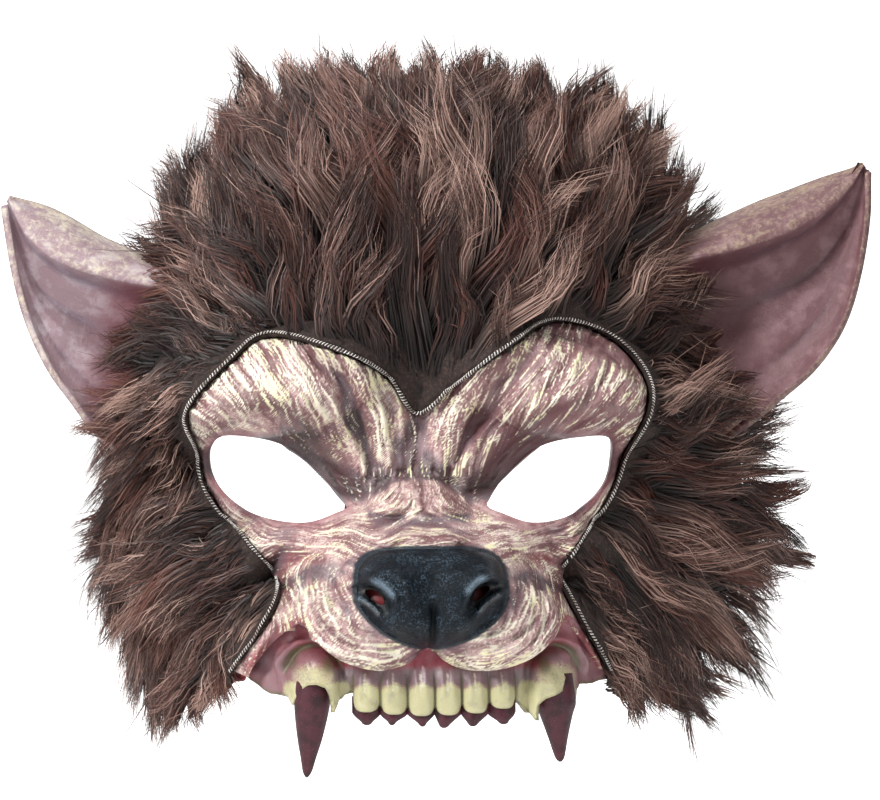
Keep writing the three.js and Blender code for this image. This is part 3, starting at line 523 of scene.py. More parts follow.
def dome_ahead(dome: Dome, x: Array, z: Array) -> Array:
    """How far ahead of the origin a dome stands.

    Args:
        dome: The dome.
        x: Distance to the side.
        z: Height.

    Returns:
        The distance ahead, which falls away fast outside the dome.
    """
    turn = math.radians(dome.turn)
    dx = (x if dome.x == 0 else np.abs(x)) - dome.x
    dz = z - dome.z
    u = (dx * math.cos(turn) + dz * math.sin(turn)) / dome.rx
    w = (dz * math.cos(turn) - dx * math.sin(turn)) / dome.rz
    q = u * u + w * w
    return dome.top - dome.drop * (1 - np.sqrt(np.maximum(0, 1 - q)) + 1.5 * np.maximum(0, q - 1))


def fold_height(fold: Fold, x: Array, z: Array) -> Array:
    """How much a fold adds at points of the front view.

    Args:
        fold: The fold.
        x: Distance to the side.
        z: Height.

    Returns:
        The added height.
    """
    steps = 14
    nearest = np.full(x.shape, np.inf)
    share_there = np.zeros(x.shape)
    for n in range(steps):
        ends = []
        for s in (n / steps, (n + 1) / steps):
            weights = ((1 - s) ** 2, 2 * s * (1 - s), s * s)
            ends.append([sum(w * m[k] for w, m in zip(weights, (fold.start, fold.middle, fold.end)))
                         for k in (0, 1)])
        (ax, az), (bx, bz) = ends
        run = (bx - ax) ** 2 + (bz - az) ** 2
        t = np.clip(((np.abs(x) - ax) * (bx - ax) + (z - az) * (bz - az)) / run, 0, 1)
        gap = np.hypot(np.abs(x) - ax - t * (bx - ax), z - az - t * (bz - az))
        closer = gap < nearest
        nearest = np.where(closer, gap, nearest)
        share_there = np.where(closer, (n + t) / steps, share_there)
    taper = 0.35 + 0.65 * np.sin(math.pi * np.minimum(1, 0.12 + share_there * 0.8))
    height = fold.height * taper * hill(nearest / fold.width)
    return height if fold.side is Side.BOTH else np.where(np.sign(x) == fold.side.value, height, 0)


def kneaded(x: Array, z: Array) -> tuple[Array, Array]:
    """Shifts points of the front view a little, so that folds run as unevenly as modelled clay.

    Args:
        x: Distance to the side.
        z: Height.

    Returns:
        The shifted distance to the side and height.
    """
    return (x + 0.9 * np.sin(z / 6.1 + 0.7 * np.sin(x / 9.0) + 1.0) + 0.35 * np.sin(z / 2.7 + x / 4.1),
            z + 0.8 * np.sin(x / 7.3 + 0.5 * np.sin(z / 8.0) + 2.0) + 0.35 * np.sin(x / 2.9 - z / 3.7))


def skin_ahead(across: Array, z: Array, folds: Sequence[Fold] = FOLDS,
               domes: Sequence[Dome] = DOMES) -> Array:
    """How far ahead of the origin the mask's outer skin lies.

    Args:
        across: The head's own coordinate, from -1 to 1.
        z: Height.
        folds: The folds to add.
        domes: The domes to join.

    Returns:
        The distance ahead.
    """
    x = head_x(across, z)
    rise = head_round(across, z)
    rim, front = section_values("rim", z), section_values("front", z)
    ahead = rim + (front - rim) * rise
    sunk = RIM_CALM * smooth_step(0.45, 0.1, rise)
    for dome in domes:
        ahead = soft_max(ahead, dome_ahead(dome, x, z) - sunk, SNOUT_BLEND)
    on_front = smooth_step(0.25, 0.5, rise)
    kx, kz = kneaded(x, z) if folds else (x, z)
    for fold in folds:
        ahead = ahead + on_front * fold_height(fold, kx, kz)
    return ahead


def skin_point(across: Array, z: Array, folds: Sequence[Fold] = FOLDS,
               domes: Sequence[Dome] = DOMES) -> Array:
    """Points of the mask's outer skin.

    Args:
        across: The head's own coordinate, from -1 to 1.
        z: Height.
        folds: The folds to add.
        domes: The domes to join.

    Returns:
        The points, with x, y and z in the last place.
    """
    return np.stack([head_x(across, z), -skin_ahead(across, z, folds, domes), z + 0 * across], axis=-1)


def grid_normals(points: Array) -> Array:
    """The outward normal at each point of a grid.

    Args:
        points: The grid, with rows upwards and columns to the right.

    Returns:
        The normals.
    """
    along_x, along_z = np.gradient(points, axis=1), np.gradient(points, axis=0)
    normal = np.cross(along_x, along_z)
    return normal / (np.linalg.norm(normal, axis=-1, keepdims=True) + 1e-12)


def unit(vectors: Array) -> Array:
    """Vectors brought to length 1."""
    return vectors / (np.linalg.norm(vectors, axis=-1, keepdims=True) + 1e-12)


@dataclass(frozen=True)
class GridSpec:
    """How finely a stretch of the skin is cut into cells."""

    low: float
    high: float
    reach: float
    rows: int
    columns: int


def skin_grid(spec: GridSpec) -> tuple[Array, Array]:
    """The heights and side coordinates of an evenly spaced grid on the skin.

    Args:
        spec: The stretch and its cells.

    Returns:
        The side coordinate and the height of each grid point.
    """
    z = np.linspace(spec.low, spec.high, 500)
    length = np.zeros(500)
    for across in (0.0, 0.12, 0.25, 0.4):
        p = skin_point(np.full(500, across), z, ())
        length[1:] += np.cumsum(np.linalg.norm(np.diff(p, axis=0), axis=1)) / 4
    heights = even_steps(z, length, spec.rows)
    samples = np.linspace(-spec.reach, spec.reach, 900)
    rows = []
    for height in heights:
        p = skin_point(samples, np.full(900, height), ())
        run = np.concatenate([[0], np.cumsum(np.linalg.norm(np.diff(p, axis=0), axis=1))])
        rows.append(even_steps(samples, run, spec.columns))
    across = np.array(rows)
    return across, np.repeat(heights[:, None], across.shape[1], axis=1)


def grid_faces(rows: int, columns: int, start: int = 0) -> Faces:
    """The four-sided faces of a grid of points, listed row by row."""
    a = (np.arange(rows - 1)[:, None] * columns + np.arange(columns - 1)[None, :]).ravel() + start
    return np.stack([a, a + 1, a + columns + 1, a + columns], axis=1)


def closed_outline(edge: Array, down_to: float) -> Array:
    """An open outline closed straight down to a height under the mask."""
    return np.vstack([edge, [edge[-1, 0], down_to], [edge[0, 0], down_to]])


EYE = smooth_outline(EYE_OUTLINE, True, 90)
OPENING = smooth_outline(FACE_OPENING, False, 320)
LIP = smooth_outline(LIP_LINE, False, 90)
MOUTH = closed_outline(np.vstack([(LIP[1:] * [-1, 1])[::-1], LIP]) + [JAW_SHIFT, 0], -90)


def eye_distance(x: Array, z: Array) -> Array:
    """How far points of the front view lie from the nearest eye opening, below 0 inside it."""
    flat = np.stack([np.abs(x).ravel(), z.ravel()], axis=1)
    return signed_distance(flat, EYE).reshape(x.shape)


def opening_distance(x: Array, z: Array) -> Array:
    """How far points lie inside the hood's face opening, below 0 under the hood."""
    flat = np.stack([x.ravel(), z.ravel()], axis=1)
    return -signed_distance(flat, closed_outline(OPENING, -90)).reshape(x.shape)


def mouth_distance(x: Array, z: Array) -> Array:
    """How far points lie from the open mouth, below 0 inside it."""
    flat = np.stack([x.ravel(), z.ravel()], axis=1)
    return signed_distance(flat, MOUTH).reshape(x.shape)


@dataclass
class Surface:
    """A triangle mesh with a named value at each point."""

    points: Array
    normals: Array
    faces: Faces
    marks: dict[str, Array]

    @staticmethod
    def from_grid(points: Array, normals: Array, marks: dict[str, Array]) -> "Surface":
        """Cuts a grid's cells into triangles.

        Args:
            points: The grid's points.
            normals: Their normals.
            marks: Named grids of values.

        Returns:
            The mesh.
        """
        quads = grid_faces(points.shape[0], points.shape[1])
        faces = np.vstack([quads[:, [0, 1, 2]], quads[:, [0, 2, 3]]])
        return Surface(points.reshape(-1, 3), normals.reshape(-1, 3), faces,
                       {name: values.ravel() for name, values in marks.items()})

    def kept(self, field: Array) -> "Surface":
        """The part of the mesh where a field is above 0, cut along its zero line.

        Args:
            field: The field at each point.

        Returns:
            The cut mesh.
        """
        inside = field > 0
        count = inside[self.faces].sum(axis=1)
        parts = [self.faces[count == 3]]
        pairs: list[Faces] = []
        for wanted in (1, 2):
            mixed = self.faces[count == wanted]
            lone = np.argmax(inside[mixed] == (wanted == 1), axis=1)
            order = (lone[:, None] + np.arange(3)) % 3
            mixed = np.take_along_axis(mixed, order, axis=1)
            pairs.append(mixed)
        edges = np.vstack([m[:, [0, k]] for m in pairs for k in (1, 2)])
        unique, where = np.unique(np.sort(edges, axis=1), axis=0, return_inverse=True)
        where = where.reshape(-1) + len(self.points)
        share = (field[unique[:, 0]] / (field[unique[:, 0]] - field[unique[:, 1]]))[:, None]
        one, two = pairs
        a1, b1 = where[: len(one)], where[len(one): 2 * len(one)]
        a2, b2 = where[2 * len(one): 2 * len(one) + len(two)], where[2 * len(one) + len(two):]
        parts.append(np.stack([one[:, 0], a1, b1], axis=1))
        parts.append(np.stack([a2, two[:, 1], two[:, 2]], axis=1))
        parts.append(np.stack([a2, two[:, 2], b2], axis=1))
        faces = np.vstack(parts)

        def grown(values: Array) -> Array:
            """The values with those of the new points, on the cut edges, added."""
            w = share if values.ndim == 2 else share[:, 0]
            return np.concatenate([values, values[unique[:, 0]] * (1 - w) + values[unique[:, 1]] * w])

        used, index = np.unique(faces, return_inverse=True)
        return Surface(grown(self.points)[used], unit(grown(self.normals)[used]), index.reshape(faces.shape),
                       {name: grown(values)[used] for name, values in self.marks.items()})

    def rim(self) -> Faces:
        """Finds the edges with a face on one side only.

        Returns:
            The two points of each edge, in their face's direction.
        """
        edges = np.vstack([self.faces[:, [0, 1]], self.faces[:, [1, 2]], self.faces[:, [2, 0]]])
        total = len(self.points) + 1
        keys = edges[:, 0] * total + edges[:, 1]
        back = edges[:, 1] * total + edges[:, 0]
        return edges[~np.isin(keys, back)]

    def thickened(self, wall: float, closed: bool) -> "Surface":
        """Gives the mesh's rim a rounded edge of some depth, and on request a back.

        Args:
            wall: How deep the edge is.
            closed: Whether the mesh gets a back.

        Returns:
            The mesh with its rim.
        """
        edges = self.rim()
        size = len(self.points)
        if closed:
            back = self.points - self.normals * wall
            strips = np.vstack([np.stack([edges[:, 1], edges[:, 0], edges[:, 0] + size], axis=1),
                                np.stack([edges[:, 1], edges[:, 0] + size, edges[:, 1] + size], axis=1)])
            return Surface(np.vstack([self.points, back]), np.vstack([self.normals, -self.normals]),
                           np.vstack([self.faces, self.faces[:, ::-1] + size, strips]),
                           {name: np.concatenate([v, v]) for name, v in self.marks.items()})
        ends, index = np.unique(edges, return_inverse=True)
        index = index.reshape(edges.shape)
        inward = unit(-self.normals[ends] * [0.3, 1, 0.3])
        rings = [self.points[ends] + inward * wall * share for share in (0.5, 1)]
        faces = [self.faces]
        before = edges
        for ring in range(2):
            now = index + size + ring * len(ends)
            faces.append(np.stack([before[:, 1], before[:, 0], now[:, 0]], axis=1))
            faces.append(np.stack([before[:, 1], now[:, 0], now[:, 1]], axis=1))
            before = now
        return Surface(np.vstack([self.points, *rings]),
                       np.vstack([self.normals, self.normals[ends], self.normals[ends]]), np.vstack(faces),
                       {name: np.concatenate([v, v[ends], v[ends]]) for name, v in self.marks.items()})


# Wrinkles and brush strokes


def flow_angle(x: Array, z: Array) -> Array:
    """The way the wrinkles run, blended from the flow marks.

    Args:
        x: Distance to the side.
        z: Height.

    Returns:
        The angle in radians, in the front view.
    """
    cosine, sine = np.zeros(x.shape), np.zeros(x.shape)
    side = np.where(x < 0, -1.0, 1.0)
    for mark in FLOW:
        weight = np.exp(-(((np.abs(x) - mark.x) ** 2 + (z - mark.z) ** 2) / mark.reach**2)) + 1e-9
        cosine += weight * math.cos(2 * math.radians(mark.angle))
        sine += weight * math.sin(2 * math.radians(mark.angle))
    return np.arctan2(side * sine, cosine) / 2


def streaks(points: Array, angle: Array, seed: int, grain: int, reach: float, step: float) -> Array:
    """Noise drawn out along the flow, as fine wrinkles and brush hairs are.

    Args:
        points: The grid's points.
        angle: The flow's angle at each point.
        seed: The noise's seed.
        grain: How many cells wide one grain of the noise is.
        reach: How far each grain is drawn out, either way.
        step: The length of one step of the drawing.

    Returns:
        The streaks, about 0 with a spread of 1.
    """
    rows, columns = angle.shape
    rng = np.random.default_rng(seed)
    noise = rng.standard_normal((rows, columns))
    if grain > 0:
        noise = blurred(noise, grain)
    by_column, by_row = np.gradient(points, axis=1), np.gradient(points, axis=0)
    to_x, to_z = np.cos(angle), np.sin(angle)
    in_rows = to_z / (by_row[..., 2] + 1e-9)
    in_columns = (to_x - in_rows * by_row[..., 0]) / (by_column[..., 0] + 1e-9)
    pace = np.linalg.norm(in_rows[..., None] * by_row + in_columns[..., None] * by_column, axis=-1) + 1e-9
    in_rows, in_columns = in_rows / pace * step, in_columns / pace * step
    total = noise.copy()
    start_r, start_c = np.indices((rows, columns), dtype=float)
    for way in (1, -1):
        r, c = start_r.copy(), start_c.copy()
        for _ in range(int(reach / step)):
            ri = np.clip(np.rint(r).astype(int), 0, rows - 1)
            ci = np.clip(np.rint(c).astype(int), 0, columns - 1)
            r += way * in_rows[ri, ci]
            c += way * in_columns[ri, ci]
            ri = np.clip(np.rint(r).astype(int), 0, rows - 1)
            ci = np.clip(np.rint(c).astype(int), 0, columns - 1)
            total += noise[ri, ci]
    total -= blurred(total, 12)
    return total / (total.std() + 1e-9)


# Materials


def srgb(code: str) -> tuple[float, float, float, float]:
    """A hex colour turned to the linear values that shaders take.

    Args:
        code: The colour, such as "#a67f80".

    Returns:
        Red, green, blue and alpha.
    """
    parts = [int(code[i: i + 2], 16) / 255 for i in (1, 3, 5)]
    r, g, b = [c / 12.92 if c <= 0.04045 else ((c + 0.055) / 1.055) ** 2.4 for c in parts]
    return (r, g, b, 1.0)


SMOOTH = {"interpolation_type": "SMOOTHSTEP"}


class Finish:
    """A surface finish being mixed: coats of colour by masks over a base, and fine reliefs."""

    def __init__(self, name: str) -> None:
        """Starts a material.

        Args:
            name: The material's name.
        """
        self.material = bpy.data.materials.new(name)
        self.material.use_nodes = True
        self.material.node_tree.nodes.clear()
        self.place = self.add("TexCoord", {}, 3)

    def add(self, kind: str, inputs: dict[Any, Any], out: int = 0, **settings: Any) -> Any:
        """Adds one node with its settings and links.

        Args:
            kind: The node's type name, without its first part.
            inputs: A value or another node's output for each named or numbered socket.
            out: The number of the output that is wanted.
            **settings: The node's own properties.

        Returns:
            That output, or None of a node without outputs.
        """
        node = self.material.node_tree.nodes.new("ShaderNode" + kind)
        for name, value in settings.items():
            setattr(node, name, value)
        for key, value in inputs.items():
            if isinstance(value, bpy.types.NodeSocket):
                self.material.node_tree.links.new(value, node.inputs[key])
            else:
                node.inputs[key].default_value = value
        return node.outputs[out] if node.outputs else None

    def marks(self, *names: str) -> list[Any]:
        """The mesh's own marks, such as where a coat of paint lies, as outputs."""
        return [self.add("Attribute", {}, 2, attribute_name=name) for name in names]

    def grain(self, size_mm: float, detail: float, rough: float) -> dict[str, Any]:
        """Noise settings whose grains are about this many millimetres across.

        Args:
            size_mm: The grain's size.
            detail: How many finer layers it has.
            rough: How strong the finer layers are.

        Returns:
            The settings by socket name.
        """
        return {"Vector": self.place, "Scale": 1 / (size_mm * MM), "Detail": detail, "Roughness": rough}

    def close(self, base: str, coats: Sequence[tuple[Any, str]], reliefs: Sequence[tuple[Any, float]],
              roughness: Any, **sockets: Any) -> bpy.types.Material:
        """Lays the coats over the base, adds the reliefs and closes the material.

        Args:
            base: The hex colour under all the coats.
            coats: A mask and a hex colour for each coat, from the lowest up.
            reliefs: A height and its depth in millimetres for each relief.
            roughness: A number or a socket.
            **sockets: Values of other sockets, with spaces written as underscores.

        Returns:
            The material.
        """
        color: Any = srgb(base)
        for mask, code in coats:
            color = self.add("Mix", {0: mask, 6: color, 7: srgb(code)}, 2, data_type="RGBA")
        inputs: dict[Any, Any] = {"Base Color": color, "Roughness": roughness}
        for height, depth_mm in reliefs:
            bump = {"Height": height, "Distance": depth_mm * MM, "Strength": 1.0}
            if "Normal" in inputs:
                bump["Normal"] = inputs["Normal"]
            inputs["Normal"] = self.add("Bump", bump)
        inputs.update({key.replace("_", " "): value for key, value in sockets.items()})
        self.add("OutputMaterial", {"Surface": self.add("BsdfPrincipled", inputs)})
        return self.material


@dataclass(frozen=True)
class LatexSkin:
    """Slush-moulded latex, painted mauve, washed grey in its valleys and dry brushed cream on its ridges.

    Latex gives the eye a soft satin sheen. A grey washed coat, darkened further as painted shade, darkens
    every hollow; deep mauve painted shade lies in the wrinkles' valleys and on the right brow; and the dry
    brush leaves fine cream lines, about 0.4 mm wide, along the wrinkles.
    """

    base: str = "#a98585"
    pale: str = "#c9b1ad"
    deep: str = "#6a4246"
    wash_and_shade: str = "#58545b"
    shadow: str = "#3b2c29"
    red: str = "#84303a"
    cream: str = "#eee8d2"
    yellow: str = "#dfdaa6"
    nose: str = "#1a242c"

    def build(self) -> bpy.types.Material:
        """Makes the material."""
        mix = Finish("painted_latex_skin")
        cream, dust, flush, wash_and_shade, shadow, crease, spray = mix.marks(
            "cream", "dust", "flush", "wash_and_shade", "shadow", "crease", "spray")
        cloudy = mix.add("TexNoise", mix.grain(6.0, 4, 0.6))
        speckle = mix.add("TexNoise", mix.grain(0.5, 3, 0.65))
        powder = mix.add("TexNoise", mix.grain(0.8, 4, 0.7))
        warmth = mix.add("TexNoise", mix.grain(9.0, 2, 0.5))
        wear_and_highlight = mix.add("TexNoise", mix.grain(2.2, 3, 0.55))
        powdered = mix.add("MapRange", {0: powder, 1: 0.5, 2: 0.62}, **SMOOTH)
        flecked = mix.add("MapRange", {0: speckle, 1: 0.3, 2: 0.62, 3: 0.45}, **SMOOTH)
        stroke = mix.add("Math", {0: speckle, 1: 0.35, 2: cream}, operation="MULTIPLY_ADD")
        broken = mix.add("MapRange", {0: stroke, 1: 0.3, 2: 1.1, 4: 0.9}, **SMOOTH)
        warm = mix.add("MapRange", {0: warmth, 1: 0.46, 2: 0.62, 4: 0.8}, **SMOOTH)
        sprayed = mix.add("Math", {0: speckle, 1: 0.7, 2: spray}, operation="MULTIPLY_ADD")
        coats = [
            (mix.add("MapRange", {0: cloudy, 1: 0.46, 2: 0.68}, **SMOOTH), self.pale),
            (mix.add("MapRange", {0: cloudy, 1: 0.5, 2: 0.3, 4: 0.6}, **SMOOTH), self.deep),
            (mix.add("Math", {0: powdered, 1: dust}, operation="MULTIPLY"), self.cream),
            (flush, self.red),
            # Grey washed paint in the hollows, darkened further as painted shade.
            (mix.add("Math", {0: flecked, 1: wash_and_shade}, operation="MULTIPLY"), self.wash_and_shade),
            (shadow, self.shadow),
            # Deep mauve painted shade in the wrinkles' valleys and on the right brow.
            (crease, self.deep),
            (broken, self.cream),
            (mix.add("Math", {0: broken, 1: warm}, operation="MULTIPLY"), self.yellow),
            (mix.add("MapRange", {0: sprayed, 1: 0.55, 2: 1.15}, **SMOOTH), self.nose),
        ]
        rough = mix.add("MapRange", {0: wear_and_highlight, 1: 0.3, 2: 0.7, 3: 0.38, 4: 0.54}, **SMOOTH)
        return mix.close(self.base, coats, [(speckle, 0.16), (broken, 0.12)], rough, IOR=1.5)


@dataclass(frozen=True)
class LatexLining:
    """The bare inside of the latex, dyed dark red: smooth, dull and slightly blotched."""

    base: str = "#7c1014"
    dark: str = "#4a0a0e"

    def build(self) -> bpy.types.Material:
        """Makes the material."""
        mix = Finish("red_latex_lining")
        blotch = mix.add("TexNoise", mix.grain(9.0, 4, 0.6))
        pits = mix.add("TexNoise", mix.grain(1.4, 3, 0.6))
        coats = [(mix.add("MapRange", {0: blotch, 1: 0.4, 2: 0.7}, **SMOOTH), self.dark)]
        return mix.close(self.base, coats, [(pits, 0.2)], 0.5, IOR=1.5)


@dataclass(frozen=True)
class NosePaint:
    """Gloss paint on pebbled latex: blue black, sponged with grey, wet round the nostrils.

    Its pale grey on the nostril rims is a painted highlight, and its black in the nostrils and the cleft
    painted shade.
    """

    base: str = "#050d14"
    sponge: str = "#43525f"
    light: str = "#7c8e9c"
    black: str = "#020304"

    def build(self) -> bpy.types.Material:
        """Makes the material."""
        mix = Finish("nose_gloss_paint")
        grain = mix.add("TexNoise", mix.grain(0.55, 3, 0.75))
        broad = mix.add("TexNoise", mix.grain(4.5, 3, 0.6))
        shadow, wet, ridge = mix.marks("shadow", "wet", "ridge")
        fine = mix.add("MapRange", {0: grain, 1: 0.5, 2: 0.62}, **SMOOTH)
        patch = mix.add("MapRange", {0: broad, 1: 0.42, 2: 0.64, 3: 0.2}, **SMOOTH)
        # The pale grey along the nostril rims and the wet strip under them is a painted highlight.
        wear_and_highlight = mix.add("Math", {0: grain, 1: 1.6, 2: ridge}, operation="MULTIPLY_ADD")
        coats = [
            (mix.add("Math", {0: fine, 1: patch}, operation="MULTIPLY"), self.sponge),
            (mix.add("MapRange", {0: wear_and_highlight, 1: 1.1, 2: 2.1, 4: 0.9}, **SMOOTH), self.light),
            (shadow, self.black),
        ]
        rough = mix.add("MapRange", {0: wet, 1: 0.0, 2: 1.0, 3: 0.34, 4: 0.1}, **SMOOTH)
        shine = mix.add("MapRange", {0: wet, 1: 0.0, 2: 0.8, 3: 0.16, 4: 0.9}, **SMOOTH)
        return mix.close(self.base, coats, [(grain, 0.34)], rough, IOR=1.5, Specular_IOR_Level=shine)


@dataclass(frozen=True)
class GumPaint:
    """Painted latex gums and crowns: cream teeth fading up to mauve and grey.

    The olive in their grooves is painted shade, and the white on crowns and sockets painted highlights.
    """

    gum: str = "#8a6065"
    grey: str = "#77696d"
    cream: str = "#b7b28a"
    white: str = "#dddbc8"
    olive_shade: str = "#5b573d"
    red: str = "#8a3b45"

    def build(self) -> bpy.types.Material:
        """Makes the material."""
        mix = Finish("gum_and_crown_paint")
        speckle = mix.add("TexNoise", mix.grain(0.6, 3, 0.65))
        cloudy = mix.add("TexNoise", mix.grain(3.5, 4, 0.6))
        cream, groove, flush, grey, white = mix.marks("cream", "groove", "flush", "grey", "white")
        creamy = mix.add("Math", {0: speckle, 1: 0.7, 2: cream}, operation="MULTIPLY_ADD")
        olive_shade = mix.add("Math", {0: speckle, 1: 0.5, 2: groove}, operation="MULTIPLY_ADD")
        light = mix.add("Math", {0: speckle, 1: 0.8, 2: white}, operation="MULTIPLY_ADD")
        coats = [
            (mix.add("MapRange", {0: cloudy, 1: 0.5, 2: 0.66, 4: 0.5}, **SMOOTH), self.grey),
            (flush, self.red),
            (grey, self.grey),
            (mix.add("MapRange", {0: creamy, 1: 0.6, 2: 1.15}, **SMOOTH), self.cream),
            (mix.add("MapRange", {0: cloudy, 1: 0.52, 2: 0.66, 4: 0.25}, **SMOOTH), self.grey),
            # Olive painted shade in the grooves.
            (mix.add("MapRange", {0: olive_shade, 1: 0.5, 2: 1.1, 4: 0.8}, **SMOOTH), self.olive_shade),
            # White painted highlights on the crowns and beside the sockets.
            (mix.add("MapRange", {0: light, 1: 0.7, 2: 1.2, 4: 0.85}, **SMOOTH), self.white),
        ]
        rough = mix.add("MapRange", {0: speckle, 1: 0.3, 2: 0.7, 3: 0.26, 4: 0.42}, **SMOOTH)
        return mix.close(self.gum, coats, [(speckle, 0.1)], rough, IOR=1.5)


@dataclass(frozen=True)
class FangPaint:
    """Dark maroon paint on a smooth moulded fang: satin, with fine pale specks and faint grain."""

    base: str = "#451c26"
    dark: str = "#2d1218"
    speck: str = "#8c5a60"

    def build(self) -> bpy.types.Material:
        """Makes the material."""
        mix = Finish("maroon_fang_paint")
        blotch = mix.add("TexNoise", mix.grain(4.0, 3, 0.6))
        fine = mix.add("TexNoise", mix.grain(0.4, 2, 0.6))
        grain = mix.add("TexNoise", mix.grain(0.9, 3, 0.6))
        coats = [(mix.add("MapRange", {0: blotch, 1: 0.4, 2: 0.66}, **SMOOTH), self.dark),
                 (mix.add("MapRange", {0: fine, 1: 0.66, 2: 0.74, 4: 0.8}, **SMOOTH), self.speck)]
        return mix.close(self.base, coats, [(grain, 0.08)], 0.44, IOR=1.5, Specular_IOR_Level=0.35)


@dataclass(frozen=True)
class EarPaint:
    """The ears' latex: dusty pink cups with purple grey folds, red at the root, cream on the rolled band.

    Their purple grey is washed paint and painted shade; the cream on the outer edge is a painted highlight.
    """

    name: str
    base: str
    pale: str
    purple: str
    red: str
    cream: str = "#ddd2b0"

    def build(self) -> bpy.types.Material:
        """Makes the material."""
        mix = Finish(self.name)
        cloudy = mix.add("TexNoise", mix.grain(6.0, 4, 0.6))
        speckle = mix.add("TexNoise", mix.grain(0.6, 3, 0.65))
        mottle = mix.add("TexNoise", {**mix.grain(1.5, 5, 0.72), "Distortion": 0.6})
        cream, wash_and_shade, flush = mix.marks("cream", "wash_and_shade", "flush")
        purple = mix.add("Math", {0: speckle, 1: 0.4, 2: wash_and_shade}, operation="MULTIPLY_ADD")
        creamy = mix.add("Math", {0: mottle, 1: 1.6, 2: cream}, operation="MULTIPLY_ADD")
        coats = [
            (mix.add("MapRange", {0: cloudy, 1: 0.45, 2: 0.68}, **SMOOTH), self.pale),
            (mix.add("MapRange", {0: purple, 1: 0.35, 2: 1.2, 4: 0.85}, **SMOOTH), self.purple),
            (flush, self.red),
            (mix.add("MapRange", {0: creamy, 1: 1.1, 2: 1.6, 4: 0.8}, **SMOOTH), self.cream),
        ]
        rough = mix.add("MapRange", {0: cloudy, 1: 0.3, 2: 0.7, 3: 0.42, 4: 0.55}, **SMOOTH)
        return mix.close(self.base, coats, [(speckle, 0.16), (mottle, 0.3)], rough, IOR=1.5)


@dataclass(frozen=True)
class FurFibre:
    """Acrylic pile about 35 mm long: near black at its roots, dark brown along it, with dusty tips.

    Each strand has its own tone, so light strands lie among dark ones, and a silky sheen runs along them.
    The strands are drawn 0.4 mm wide, coarser than real ones, so that they show.
    """

    root: str = "#0c0605"
    body: str = "#4b312b"
    light: str = "#b49487"
    russet: str = "#55291f"
    dark: str = "#1a0e0b"

    def build(self) -> bpy.types.Material:
        """Makes the material."""
        mix = Finish("brown_fur_fibre")
        tone, warm, along = mix.marks("tone", "warm", "along")
        coats = [
            (mix.add("MapRange", {0: tone, 1: 0.45, 2: 0.95, 4: 0.9}, **SMOOTH), self.light),
            (warm, self.russet),
            (mix.add("MapRange", {0: tone, 1: 0.36, 2: 0.08, 4: 0.9}, **SMOOTH), self.dark),
            (mix.add("MapRange", {0: along, 1: 0.7, 2: 0.12, 4: 0.94}, **SMOOTH), self.root),
        ]
        return mix.close(self.body, coats, [], 0.46, IOR=1.5, Specular_IOR_Level=0.3)


@dataclass(frozen=True)
class FurBacking:
    """The knitted backing under the pile: matt, nearly black brown."""

    base: str = "#20140f"
    light: str = "#3a2822"

    def build(self) -> bpy.types.Material:
        """Makes the material."""
        mix = Finish("knitted_fur_backing")
        knit = mix.add("TexNoise", mix.grain(0.9, 2, 0.5))
        coats = [(mix.add("MapRange", {0: knit, 1: 0.45, 2: 0.7}, **SMOOTH), self.light)]
        return mix.close(self.base, coats, [(knit, 0.4)], 0.85)


@dataclass(frozen=True)
class Thread:
    """Spun polyester sewing thread: matt, with a faint sheen on its turns."""

    name: str
    base: str
    wear_and_highlight: str

    def build(self) -> bpy.types.Material:
        """Makes the material."""
        mix = Finish(self.name)
        fuzz = mix.add("TexNoise", mix.grain(0.3, 2, 0.5))
        rubbed = mix.add("TexNoise", mix.grain(1.6, 3, 0.6))
        coats = [(mix.add("MapRange", {0: rubbed, 1: 0.45, 2: 0.62}, **SMOOTH), self.wear_and_highlight)]
        return mix.close(self.base, coats, [(fuzz, 0.1)], 0.6)


# Meshes


def new_piece(name: str, points: Array, faces: Sequence[Faces], material: bpy.types.Material,
              marks: dict[str, Array] | None = None) -> bpy.types.Object:
    """Makes a smooth-shaded mesh object from arrays in millimetres.

    Args:
        name: The object's name.
        points: Its points.
        faces: Lists of faces, each with one number of sides.
        material: Its material.
        marks: Named values of its points.

    Returns:
        The object.
    """
    mesh = bpy.data.meshes.new(name)
    mesh.vertices.add(len(points))
    mesh.vertices.foreach_set("co", np.ascontiguousarray(points * MM, dtype=np.float32).ravel())
    loops = np.concatenate([f.ravel() for f in faces]).astype(np.int32)
    sizes = np.concatenate([np.full(len(f), f.shape[1]) for f in faces])
    starts = np.concatenate([[0], np.cumsum(sizes)[:-1]]).astype(np.int32)
    mesh.loops.add(len(loops))
    mesh.loops.foreach_set("vertex_index", loops)
    mesh.polygons.add(len(sizes))
    mesh.polygons.foreach_set("loop_start", starts)
    mesh.polygons.foreach_set("use_smooth", np.ones(len(sizes), dtype=bool))
    mesh.update(calc_edges=True)
    for mark, values in (marks or {}).items():
        layer = mesh.attributes.new(mark, "FLOAT", "POINT")
        layer.data.foreach_set("value", np.ascontiguousarray(values, dtype=np.float32))
    mesh.materials.append(material)
    piece = bpy.data.objects.new(name, mesh)
    bpy.context.scene.collection.objects.link(piece)
    return piece


def settle(piece: bpy.types.Object, slot: str, *nodes: str) -> bpy.types.Object:
    """Lets a piece ride on the mask and stand for its solids.

    Args:
        piece: The piece.
        slot: Not used.
        *nodes: The solids that it stands for.

    Returns:
        The piece.
    """
    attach(piece, "root")
    if nodes:
        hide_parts(*nodes)
    LOG.info("%s: %d points, %d faces", piece.name, len(piece.data.vertices), len(piece.data.polygons))
    return piece


def surface_piece(name: str, surface: Surface, material: bpy.types.Material) -> bpy.types.Object:
    """Makes an object from a triangle mesh with marks."""
    return new_piece(name, surface.points, [surface.faces], material, surface.marks)


# The face


